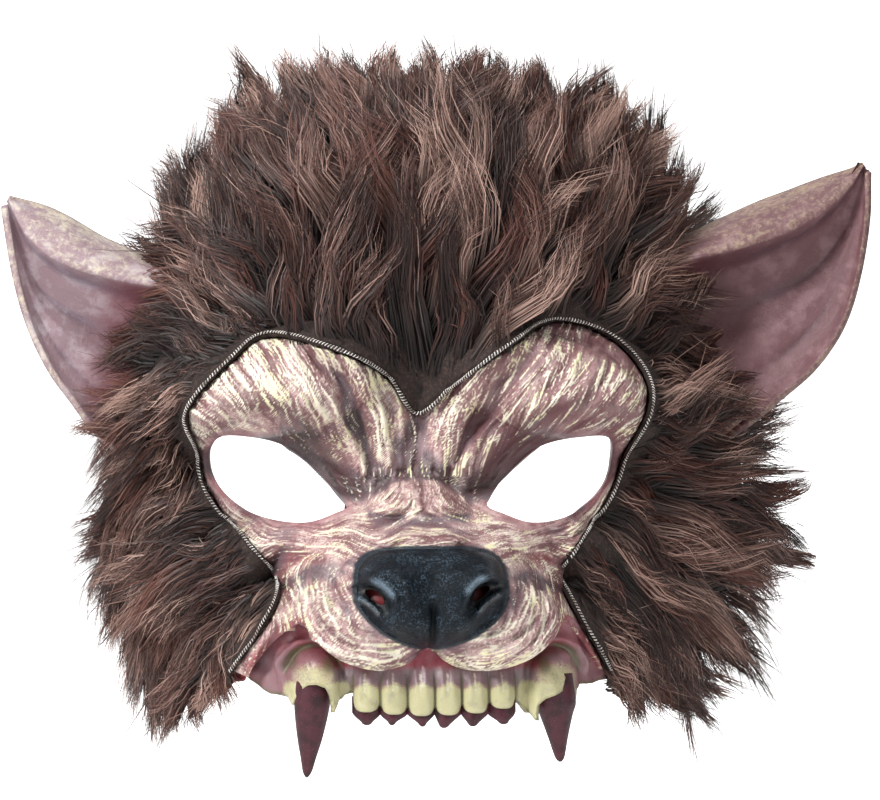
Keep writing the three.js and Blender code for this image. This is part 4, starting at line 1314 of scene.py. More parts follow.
@dataclass(frozen=True)
class Nose:
    """The nose's form over the muzzle, as sizes that the face's skin is raised by."""

    x: float = 1.0
    z: float = -34.9
    half_width: float = 20.3
    half_height: float = 13.4
    taper: float = 0.36
    base: float = 36.0
    top: float = 51.0
    nostril_x: float = 14.3
    nostril_z: float = -33.8
    nostril_middle: float = -0.3

    def radius(self, x: Array, z: Array) -> Array:
        """How far out a point of the front view lies.

        Args:
            x: Distance to the side.
            z: Height.

        Returns:
            0 in the middle of the nose and 1 on its edge.
        """
        w = (z - self.z) / self.half_height
        narrow = 1 - self.taper * np.maximum(0, -np.clip(w, -1.2, 1)) ** 1.4
        u = (x - self.x) / (self.half_width * narrow)
        power = 2.5 + 1.5 * smooth_step(-0.2, 0.5, w)
        return (np.abs(u) ** power + np.abs(w) ** power) ** (1 / power)

    def ahead(self, x: Array, z: Array) -> Array:
        """How far ahead of the origin the nose stands.

        Args:
            x: Distance to the side.
            z: Height.

        Returns:
            The distance ahead, which falls away fast outside the nose.
        """
        r = self.radius(x, z)
        form = self.base + (self.top - self.base) * np.sqrt(np.maximum(0, 1 - r**2.6))
        form = form - 30 * np.maximum(0, r - 1)
        side = np.abs(x - self.x)
        ring = np.hypot((side - self.nostril_x) / 1.15, z - self.nostril_z)
        wing = 1.5 * hill((ring - 5.6) / 2.2) * smooth_step(-40, -33, z)
        u, w = self.turned(x, z)
        wing = wing + 1.9 * hill((w - 3.2) / 1.3) * smooth_step(6.5, 4, np.abs(u))
        wing = wing + 0.8 * hill((w + 3.0) / 1.1) * smooth_step(5.5, 3, np.abs(u))
        dish = -1.6 * hill(side / 5.0) * smooth_step(-23, -31, z)
        brow = -1.5 * hill((z + 24.6) / 1.8) * smooth_step(15, 9, side)
        cleft = -2.6 * hill(side / 0.8) * smooth_step(-35, -39, z)
        lobe = 1.3 * hill((side - 6.0) / 4.0, (z + 42) / 3.6)
        return form + 1.25 * wing + 1.5 * dish + brow + cleft + 1.3 * lobe

    def turned(self, x: Array, z: Array) -> tuple[Array, Array]:
        """Places measured along and across the nearest nostril's slit.

        Args:
            x: Distance to the side.
            z: Height.

        Returns:
            The place along the slit and the place across it.
        """
        side = np.abs(x - self.nostril_middle) - self.nostril_x
        up = z - self.nostril_z - 0.5 * np.sign(x)
        turn = math.radians(38)
        along = side * math.cos(turn) + up * math.sin(turn)
        return along, up * math.cos(turn) - side * math.sin(turn) + 0.05 * along * along

    def nostril(self, x: Array, z: Array) -> Array:
        """How far points lie from the edge of the nearest nostril, below 0 inside it.

        Args:
            x: Distance to the side.
            z: Height.

        Returns:
            The distance, roughly in millimetres.
        """
        u, w = self.turned(x, z)
        return (np.sqrt((u / 3.0) ** 2 + (w / 1.25) ** 2) - 1) * 1.7


@dataclass
class Face:
    """The painted skin in front, cut open at the eyes, the mouth and the nose, over a red lining."""

    spec: GridSpec = GridSpec(-61.0, 44.0, 0.71, 312, 444)
    lining: GridSpec = GridSpec(-60.0, 103.0, 1.0, 72, 100)
    wrinkle: float = 0.42
    rim: float = 3.0
    nose: Nose = Nose()

    def build(self) -> None:
        """Builds the skin, the nose and the lining."""
        across, z = skin_grid(self.spec)
        x = head_x(across, z)
        plain = skin_ahead(across, z)
        kx, kz = kneaded(x, z)
        ahead = plain + 1.25 * sum(fold_height(crease, kx, kz) for crease in CREASES)
        points = np.stack([x, -ahead, z], axis=-1)
        angle = flow_angle(x, z)
        eye, mouth, opening = eye_distance(x, z), mouth_distance(x, z), opening_distance(x, z)
        soft = streaks(points, angle, SEED, 3, 9, 0.7)
        fine = streaks(points, angle, SEED + 1, 1, 5.5, 0.5)
        hair = streaks(points, angle + 0.18 * np.sin(x / 2.3 - z / 3.1), SEED + 3, 0, 6.0, 0.5)
        web = streaks(points, angle + 0.45 * np.sin(x / 3.1 + z / 2.3), SEED + 2, 1, 3.5, 0.5)
        calm = smooth_step(0, 3, eye) * (0.4 + 0.6 * smooth_step(0, 4, mouth))
        ahead = ahead + calm * (self.wrinkle * soft + 0.32 * fine + 0.09 * hair)
        ahead = ahead - 1.1 * hill(np.maximum(eye, 0) / 1.2)
        ahead = ahead - 0.8 * hill(np.maximum(mouth, 0) / 1.0)
        ahead = ahead - 4.4 * smooth_step(0.7, -1.0, opening)
        raised = self.nose.ahead(x, z)
        ahead = soft_max(ahead, raised, 3.0)
        nostril = self.nose.nostril(x, z)
        ahead = ahead - 3.0 * hill(np.maximum(nostril, 0) / 1.5)
        ahead = ahead + 0.7 * hill((nostril - 3.0) / 1.2)
        points = np.stack([x, -ahead, z], axis=-1)
        marks = self.painted(x, z, ahead, soft, fine, hair, web, eye, mouth, opening, nostril)
        surface = Surface.from_grid(points, grid_normals(points), marks)
        radius = self.nose.radius(x, z).ravel()
        floor = z + 60.8 - 0.45 * np.maximum(0, np.abs(x) - 40)
        keep = np.minimum.reduce([eye.ravel(), mouth.ravel(), opening.ravel() + 1.2, floor.ravel()])
        skin = surface.kept(np.minimum(keep, (radius - 1.0) * 14))
        skin_piece = surface_piece("painted_skin", skin.thickened(self.rim, False), LatexSkin().build())
        settle(skin_piece, "face_skin", "face_shell")
        nose = surface.kept(np.minimum((1.0 - radius) * 14, nostril.ravel()))
        nose_piece = surface_piece("painted_nose", nose.thickened(NOSE_WALL, False), NosePaint().build())
        settle(nose_piece, "nose_paint", "nose")
        self.build_lining()

    def painted(self, x: Array, z: Array, ahead: Array, soft: Array, fine: Array, hair: Array,
                web: Array, eye: Array, mouth: Array, opening: Array, nostril: Array) -> dict[str, Array]:
        """Works out where each coat of paint lies.

        Args:
            x: Distance to the side of each grid point.
            z: Its height.
            ahead: How far ahead it lies.
            soft: The broad wrinkles.
            fine: The fine wrinkles.
            hair: The thinnest brush lines.
            web: The crossing brush lines.
            eye: Its distance from the eye openings.
            mouth: Its distance from the mouth.
            opening: Its distance inside the hood's edge.
            nostril: Its distance from a nostril.

        Returns:
            The marks by name, each from 0 to 1.
        """
        broad = ahead - blurred(ahead, 14)
        near = ahead - blurred(ahead, 4)
        side = np.abs(x)
        extra = {"cream": 0 * x, "wash_and_shade": 0 * x}
        for patch in PATCHES:
            turn = math.radians(patch.turn)
            u = ((x - patch.x) * math.cos(turn) + (z - patch.z) * math.sin(turn)) / patch.rx
            w = ((z - patch.z) * math.cos(turn) - (x - patch.x) * math.sin(turn)) / patch.rz
            extra[patch.mark] = extra[patch.mark] + patch.amount * np.exp(-((u * u + w * w) ** 1.5))
        arc = sum(fold_height(fold, x, z) for fold in BROW_SHADOWS)
        hollow = smooth_step(0.2, -1.7, broad)
        ridge = smooth_step(-0.9, 0.7, broad)
        brow = smooth_step(-6, 3, z) * smooth_step(3, 8, side)
        pads = smooth_step(-24, -30, z) * smooth_step(42, 34, side)
        bridge = smooth_step(-5, -9, z) * smooth_step(-28, -22, z)
        cover = 0.22 + 0.28 * brow * np.where(x > 0, 0.5, 1.0)
        cover = cover + 0.25 * pads * np.where(x > 0, 1.05, 1.0) + 0.14 * bridge
        cover = np.clip(cover + extra["cream"] - 0.3 * arc, 0, 1) * (0.1 + 0.9 * ridge)
        strokes = 1.1 * hair + 0.3 * fine + 0.1 * soft
        level = 1.35 - 2.5 * cover
        cream = 0.95 * smooth_step(level - 0.5, level + 1.5, strokes)
        line = smooth_step(0.34, 0.05, np.abs(web)) * smooth_step(0.1, 0.4, cover)
        line = line * (0.5 + 0.25 * smooth_step(-1, 1, fine))
        cream = np.maximum(cream, line)
        cream = cream * smooth_step(0.5, 3.0, eye) * smooth_step(-0.5, 1.5, opening + 1)
        cream += 0.3 * smooth_step(2.6, 0.8, mouth) * smooth_step(36, 30, side) * smooth_step(-30, -40, z)
        # Painted shade: the right brow is painted darker, with deep mauve and less cream, as the light falls
        # from the left.
        right_brow_shade = brow * smooth_step(4, 14, x)
        # Painted shade: deep mauve in the valleys of the fine wrinkles.
        crease = 0.85 * smooth_step(-0.2, -1.5, strokes + 0.7 * soft) * (1 - 0.4 * hollow)
        crease = np.clip(crease + 0.5 * right_brow_shade, 0, 0.85)
        # Grey washed paint in the hollows, darkened further as painted shade where the skin sinks.
        wash_and_shade = 0.95 * hollow * (0.7 + 0.3 * smooth_step(-1, 1, -soft)) + 0.4 * smooth_step(0.1, -0.9, near)
        wash_and_shade = np.clip(wash_and_shade + extra["wash_and_shade"] * smooth_step(-1.4, 0.6, -strokes), 0, 1)
        shadow = (0.85 * arc * smooth_step(1.0, 2.2, eye) + 0.6 * smooth_step(-1.4, -3.8, broad)
                  + 0.5 * smooth_step(3.2, 0.4, opening) * smooth_step(44, 34, -z))
        shadow = np.clip(shadow, 0, 0.85)
        sunk = smooth_step(-0.3, -2.2, near)
        recess = hill((side - 35) / 7, (z + 24.5) / 2.4)
        recess = np.maximum(recess, hill((side - 38) / 2.6, (z + 31) / 5.0))
        corner = smooth_step(3.4, 0.8, mouth) * smooth_step(27, 33, side) * smooth_step(-60, -54, z)
        rim = smooth_step(1.6, 0.3, eye) * (0.35 + 0.65 * smooth_step(46, 54, side))
        cleft = hill(x / 1.8) * smooth_step(-44, -49, z)
        flush = np.clip(0.35 * sunk + 0.75 * recess + 0.85 * corner + 0.6 * rim + 0.8 * cleft
                        + 0.35 * hill(x / 3.0) * smooth_step(-6, 8, z), 0, 0.9)
        radius = self.nose.radius(x, z)
        spray = 1.15 * smooth_step(1.13, 0.99, radius)
        u, w = self.nose.turned(x, z)
        # Painted shade in and round the nostrils and down the cleft, in the nose's black.
        dark = np.clip(smooth_step(1.8, 0.2, nostril) + 0.7 * hill((x - self.nose.x) / 1.2)
                       * smooth_step(-34, -39, z), 0, 1)
        wet = hill((w + 2.7) / 1.0) * smooth_step(4.5, 3, np.abs(u))
        inside = smooth_step(1.02, 0.97, radius)
        dust = 0.5 * smooth_step(-1.0, 0.4, broad) * smooth_step(2.0, 5.0, eye)
        # Less cream on the right brow, as painted shade.
        dust = dust * (1 - 0.5 * right_brow_shade)
        # ridge is a painted highlight on the nostril rims and the wet strip under them.
        return {"cream": cream, "wash_and_shade": wash_and_shade, "crease": crease, "dust": dust,
                "shadow": shadow * (1 - inside) + dark * inside, "flush": flush, "spray": spray,
                "wet": np.maximum(wet, 0.6 * smooth_step(2.5, 0.5, nostril)),
                "ridge": 0.9 * hill((w - 3.3) / 1.8) * smooth_step(6.5, 2, np.abs(u)) + 0.7 * wet}

    def build_lining(self) -> None:
        """Builds the bare inside of the mask, one closed sheet under the painted skin."""
        across, z = skin_grid(self.lining)
        points = skin_point(across, z)
        normals = grid_normals(points)
        points = points - normals * 3.6
        surface = Surface.from_grid(points, normals, {})
        x, height = points[..., 0], points[..., 2]
        keep = np.minimum(eye_distance(x, height), mouth_distance(x, height)).ravel() - 0.6
        lining = surface.kept(keep).thickened(LINING_WALL, True)
        settle(surface_piece("latex_lining", lining, LatexLining().build()), "face_skin", "face_shell")


# The jaw


def arch_ahead(x: Array) -> Array:
    """How far ahead of the origin the row of teeth lies.

    Args:
        x: Distance to the side. Past the arch's ends the gums go on straight towards the cheeks.

    Returns:
        The distance ahead.
    """
    side = np.abs(x - JAW_SHIFT)
    bend = np.minimum(side, CHEEK_SIDE)
    fall = 1 - (bend / ARCH_HALF_WIDTH) ** ARCH_FULLNESS
    arch = ARCH_BACK + (ARCH_FRONT - ARCH_BACK) * fall ** (1 / ARCH_FULLNESS)
    return arch - np.maximum(0, side - CHEEK_SIDE)


@dataclass
class Jaw:
    """The upper jaw: gums, six crowns and two fang sockets as one painted sheet, and six dark points."""

    half_width: float = 51.0
    low_z: float = -70.0
    high_z: float = -39.0
    columns: int = 340
    rows: int = 74
    wall: float = 1.6

    def build(self) -> None:
        """Builds the gums with their crowns, and the points of the teeth."""
        samples = JAW_SHIFT + self.half_width * np.sin(np.linspace(-1, 1, 1200) * math.pi / 2)
        plan = np.stack([samples, arch_ahead(samples)], axis=1)
        run = np.concatenate([[0], np.cumsum(np.linalg.norm(np.diff(plan, axis=0), axis=1))])
        x0 = even_steps(samples, run, self.columns)
        tangent = unit(np.gradient(np.stack([x0, arch_ahead(x0)], axis=1), axis=0))
        x, z = np.meshgrid(x0, np.linspace(self.low_z, self.high_z, self.rows))
        side = np.abs(x - JAW_SHIFT)
        low = np.interp(x, [mark[0] for mark in JAW_EDGE], [mark[1] for mark in JAW_EDGE])
        within = np.full(x.shape, 9.0)
        for tooth in INCISORS:
            u = (x - tooth.x) / tooth.half_width
            low = np.where(np.abs(u) < 1, tooth.bottom + 2.3 * np.abs(u) ** 3.2, low)
            within = np.where(np.abs(u) < np.abs(within), u, within)
        gap = np.clip(np.abs(within), 0, 1)
        row = smooth_step(1.6, 1.0, np.abs(within))
        crown = np.sqrt(1 - gap**2.1)
        height = crown * (0.5 + 2.6 * smooth_step(-53, -60, z)) * smooth_step(-48, -55.5, z)
        height -= 0.9 * smooth_step(1.6, 0.0, z - low) * row
        for place in (-0.42, 0.3):
            rib = hill((within - place) / 0.2)
            height += 0.45 * rib * smooth_step(-51, -55, z) * smooth_step(-65, -58, z)
        q = np.minimum(*[np.hypot((x - fang) / reach, np.maximum(0, z + 57) / 7.8)
                         for fang, reach in SOCKETS])
        socket = np.sqrt(np.maximum(0, 1 - q**2.3))
        moat = hill((q - 1.12) / 0.1) * smooth_step(-58, -53, z)
        height -= 1.4 * moat
        ring = hill((q - 1.34) / 0.13) * smooth_step(-57, -53, z)
        height += 1.5 * ring * smooth_step(33, 38, side)
        height += 6 * smooth_step(-49.5, -44, z) * smooth_step(30, 24, side)
        rng = np.random.default_rng(SEED + 5)
        ripple = blurred(rng.standard_normal(x.shape), 3)
        height += 0.28 * ripple / ripple.std()
        points = np.stack([x, -arch_ahead(x), z], axis=-1)
        outward = np.stack([-tangent[:, 1], -tangent[:, 0]], axis=1)
        points[..., :2] += outward[None] * height[..., None]
        points[..., 1] -= 7.2 * socket
        marks = self.painted(x, z, low, gap, row, within, q, socket, moat)
        surface = Surface.from_grid(points, grid_normals(points), marks)
        ceiling = np.interp(side, [0, 37, 41, 45, 49.5, 51.5], [-39, -39, -42, -47.2, -53, -55])
        gums = surface.kept(np.minimum(z - low, ceiling - z).ravel()).thickened(self.wall, True)
        settle(surface_piece("gums_and_crowns", gums, GumPaint().build()), "gum_paint", "upper_jaw")
        self.build_points()

    @staticmethod
    def painted(x: Array, z: Array, low: Array, gap: Array, row: Array, within: Array, q: Array,
                socket: Array, moat: Array) -> dict[str, Array]:
        """Works out where each coat of paint lies on the gums.

        Args:
            x: Distance to the side of each grid point.
            z: Its height.
            low: The height of the edge under it.
            gap: How near it is to the gap between two crowns, up to 1.
            row: 1 along the row of crowns.
            within: Its place across the nearest crown, from -1 to 1 on it.
            q: Its distance from the nearest fang, 1 at the socket's edge.
            socket: The socket's height there, up to 1.
            moat: 1 in the groove round a socket.

        Returns:
            The marks by name, each from 0 to 1.
        """
        side = np.abs(x - JAW_SHIFT)
        inner = np.where(x < 0, x - SOCKETS[0][0], SOCKETS[1][0] - x)
        # Painted shade on patches beside each socket.
        patch = hill((inner - 3.6) / 2.6, (z + 53.5) / 3.6)
        patch = patch + 0.8 * hill((inner + 5.4) / 1.6, (z + 53) / 3.2)
        web = smooth_step(24.5, 26.5, side) * smooth_step(-55, -58.5, z)
        cream = smooth_step(-55.6, -60.4, z + 2.2 * gap * row) * np.maximum(row, smooth_step(42, 38.5, side))
        cream = np.maximum(cream, 0.68 * socket * smooth_step(-49, -56, z))
        # Olive painted shade in the gaps between the crowns, along the lower edge, round the sockets and on
        # the patches beside them.
        groove = (0.9 * smooth_step(0.74, 0.98, gap) * row * smooth_step(-54, -58, z)
                  + 0.5 * smooth_step(0.9, 0.1, z - low) * row + 0.8 * patch + 0.25 * web * (1 - socket)
                  + 0.8 * moat * smooth_step(-0.5, 1.5, -inner) + 0.6 * moat
                  + 0.5 * smooth_step(1.5, 0.2, z - low) * (1 - row))
        grey = smooth_step(-53.5, -55.5, z) * smooth_step(-60.5, -58.0, z) * (0.6 + 0.4 * gap)
        grey = grey * smooth_step(30, 26, side) + 0.3 * smooth_step(1.1, 1.3, q) * smooth_step(36, 39, side)
        flush = smooth_step(-56.0, -53.0, z) * smooth_step(33, 28, side) + 0.75 * smooth_step(-52, -48, z)
        flush = flush + 0.55 * smooth_step(44, 50, side)
        # Painted highlights: white down the middle of each crown, beside each socket and on the ring round
        # it.
        gleam = hill((within + 0.1) / 0.22) * row
        ring = hill((q - 1.34) / 0.1) * smooth_step(-57, -53, z)
        white = (0.9 * gleam * smooth_step(-54.2, -56, z) * smooth_step(-64, -60, z)
                 + 0.75 * hill((inner + 1.6) / 2.0, (z + 53.5) / 3.4)
                 + 0.6 * ring * smooth_step(34, 38, side))
        marks = {"cream": cream, "groove": groove, "grey": 0.85 * grey, "flush": 0.9 * flush,
                 "white": white - 0.35}
        return {name: np.clip(values, -0.4, 1) for name, values in marks.items()}

    @staticmethod
    def build_points() -> None:
        """Builds the dark points under the six crowns, which touch each other behind the crowns."""
        all_points: list[Array] = []
        all_faces: list[Faces] = []
        total = 0
        levels = np.linspace(0, 1, 22)
        for tooth in INCISORS:
            height = -62.0 + (tooth.tip_z + 62.0) * levels
            middle = tooth.x + (tooth.tip_x - tooth.x) * smooth_step(-66.5, tooth.tip_z, height)
            ahead = arch_ahead(np.full(len(levels), tooth.x)) - 1.2 + 0.8 * levels
            centre = np.stack([middle, -ahead, height], axis=1)
            wide = tooth.half_width + 0.35
            radius = np.interp(height, [tooth.tip_z, tooth.tip_z + 0.3, tooth.tip_z + 0.9, -67.6, -66.6, -62],
                               [0.4 * tooth.tip_half, 0.85 * tooth.tip_half, 1.15 * tooth.tip_half,
                                0.82 * wide, wide, wide])
            points, faces = tube(centre, radius, np.minimum(radius * 0.8, 1.9), 22)
            all_points.append(points)
            all_faces.append(faces + total)
            total += len(points)
        piece = new_piece("incisor_tips", np.vstack(all_points), [np.vstack(all_faces)], FangPaint().build())
        settle(piece, "fang_paint", "incisor_points")


def tube(centre: Array, half_x: Array, half_y: Array, sides: int) -> tuple[Array, Faces]:
    """A closed upright body through oval rings.

    Args:
        centre: The rings' centres from top to bottom.
        half_x: Their half widths.
        half_y: Their half depths.
        sides: How many sides each has.

    Returns:
        The points and the four-sided faces, with both ends drawn to a point.
    """
    angle = np.linspace(0, 2 * math.pi, sides, endpoint=False)
    ring = np.stack([np.cos(angle), np.sin(angle), 0 * angle], axis=1)
    size = np.stack([half_x, half_y, 0 * half_x], axis=1)
    size = np.vstack([size[:1] * 0.01, size, size[-1:] * 0.01])
    middle = np.vstack([centre[:1], centre, centre[-1:]])
    points = (middle[:, None, :] + ring[None] * size[:, None, :]).reshape(-1, 3)
    a = np.arange(len(middle) - 1)[:, None] * sides + np.arange(sides)[None]
    b = np.arange(len(middle) - 1)[:, None] * sides + (np.arange(sides)[None] + 1) % sides
    faces = np.stack([a.ravel(), b.ravel(), (b + sides).ravel(), (a + sides).ravel()], axis=1)
    return points, faces[:, ::-1]


@dataclass
class Fang:
    """One long upper fang, with its half width at shares of its length down to the tip."""

    name: str
    x: float
    top_z: float
    tip_x: float
    tip_z: float
    profile: tuple[tuple[float, float], ...]
    levels: int = 50
    sides: int = 30

    def build(self, material: bpy.types.Material) -> None:
        """Builds the fang.

        Args:
            material: Its paint.
        """
        s = np.linspace(0, 1, self.levels)
        shares, widths = zip(*self.profile)
        half_x = between_rows(shares, widths, s) * np.sqrt(np.clip(1 - s**40, 0.1, 1))
        start = float(arch_ahead(np.array([self.x]))[0]) + 1.0
        centre = np.stack([self.x + (self.tip_x - self.x) * s**1.3, -(start - 1.4 * s * s),
                           self.top_z + (self.tip_z - self.top_z) * s], axis=1)
        points, faces = tube(centre, half_x, half_x * 0.84, self.sides)
        rings = np.vstack([centre[:1], centre, centre[-1:]]).repeat(self.sides, axis=0)
        angle = np.arctan2(points[:, 1] - rings[:, 1], points[:, 0] - rings[:, 0])
        points[:, 1] += 0.10 * np.sin(9 * angle) * (points[:, 2] > self.tip_z + 4)
        settle(new_piece("painted_" + self.name, points, [faces], material), "fang_paint", self.name)


# The ears


@dataclass
class Ear:
    """One latex ear: a rolled upper band, a folded cup and a thin outer edge."""

    name: str
    stations: tuple[EarStation, ...]
    root_ahead: float
    tip_ahead: float
    rows: int = 90
    columns: int = 72

    def build(self, material: bpy.types.Material) -> None:
        """Builds the ear.

        Args:
            material: Its paint.
        """
        last = len(self.stations) - 1
        along = np.linspace(0, last, self.rows)
        keys = list(range(last + 1))
        top, fold, outer = [np.stack([between_rows(keys, [getattr(s, part)[k] for s in self.stations], along)
                                      for k in (0, 1)], axis=1) for part in ("top", "fold", "outer")]
        depth = between_rows(keys, [s.depth for s in self.stations], along)
        t = np.linspace(0, 1, self.columns)
        turns = [0, 0.1, 0.22, 0.34, 0.5, 0.7, 0.88, 1]
        share = between_rows(turns, [0, 0, 0, 0.12, 0.38, 0.66, 0.88, 1], t)
        band = np.clip(between_rows([0, 0.1, 0.22, 0.34, 1], [0, 0.45, 1, 1, 1], t), 0, 1)
        rise = between_rows(turns, [-0.8, 0.35, 0.7, -0.35, -0.8, -0.5, -0.15, 0.3], t)
        share, band = np.where(t < 0.22, 0, np.clip(share, 0, 1)), np.where(t < 0.22, band, 1)
        flat = (top[:, None] * (1 - band[None, :, None]) + fold[:, None] * band[None, :, None])
        flat = flat + (outer - fold)[:, None] * share[None, :, None]
        run = along[:, None] / last
        ahead = self.root_ahead + (self.tip_ahead - self.root_ahead) * run + rise[None] * depth[:, None]
        rng = np.random.default_rng(SEED + len(self.name))
        ribs = np.zeros((self.rows, self.columns))
        for centre, width, height in EAR_RIBS:
            bend = centre + 0.05 * np.sin(3.1 * run + 9 * centre)
            fade = np.sin(math.pi * np.clip(run * 1.15, 0, 1))
            ribs += height * hill((t[None] - bend) / width) * fade
        lumps = blurred(rng.standard_normal(ribs.shape), 4)
        lumps /= lumps.std()
        size = (depth / depth.max())[:, None]
        points = np.stack([flat[..., 0], -(ahead + (ribs + 0.35 * lumps) * size), flat[..., 1]], axis=-1)
        points[..., 2] += 0.5 * np.sin(9 * run + 1.3) * smooth_step(0.05, 0.0, t)[None] * size
        normals = grid_normals(points)
        if normals[self.rows // 2, self.columns // 2, 1] > 0:
            points, normals = points[:, ::-1], -normals[:, ::-1]
            t, ribs, lumps = t[::-1], ribs[:, ::-1], lumps[:, ::-1]
        grain = rng.standard_normal((self.rows, self.columns))
        fine = blurred(grain, 1)
        streak = sum(np.roll(grain, shift, axis=0) for shift in range(-5, 6)) + 1.2 * fine / fine.std()
        streak /= streak.std()
        on_band = smooth_step(0.26, 0.2, t)[None]
        root = smooth_step(0.42, 0.16, run)
        # The purple grey in the folds and under the rolled band is washed paint and painted shade; the cream
        # along the outer edge is a painted highlight.
        marks = {
            "cream": on_band * (0.42 + 0.06 * streak + 0.16 * smooth_step(0.08, 0.0, t)[None])
                     + 0.45 * smooth_step(0.97, 1.0, t)[None],
            "wash_and_shade": np.clip(0.6 * smooth_step(0.1, -0.9, ribs) * (1 - on_band)
                            + 0.6 * hill((t[None] - 0.3) / 0.05), 0, 1),
            "flush": np.clip(0.8 * root * (1 - on_band), 0, 0.8),
        }
        surface = Surface.from_grid(points, normals, {k: v + 0 * ribs for k, v in marks.items()})
        piece = surface_piece("latex_" + self.name, surface.thickened(EAR_WALL, True), material)
        settle(piece, "ear_skin", self.name)


# The fur hood


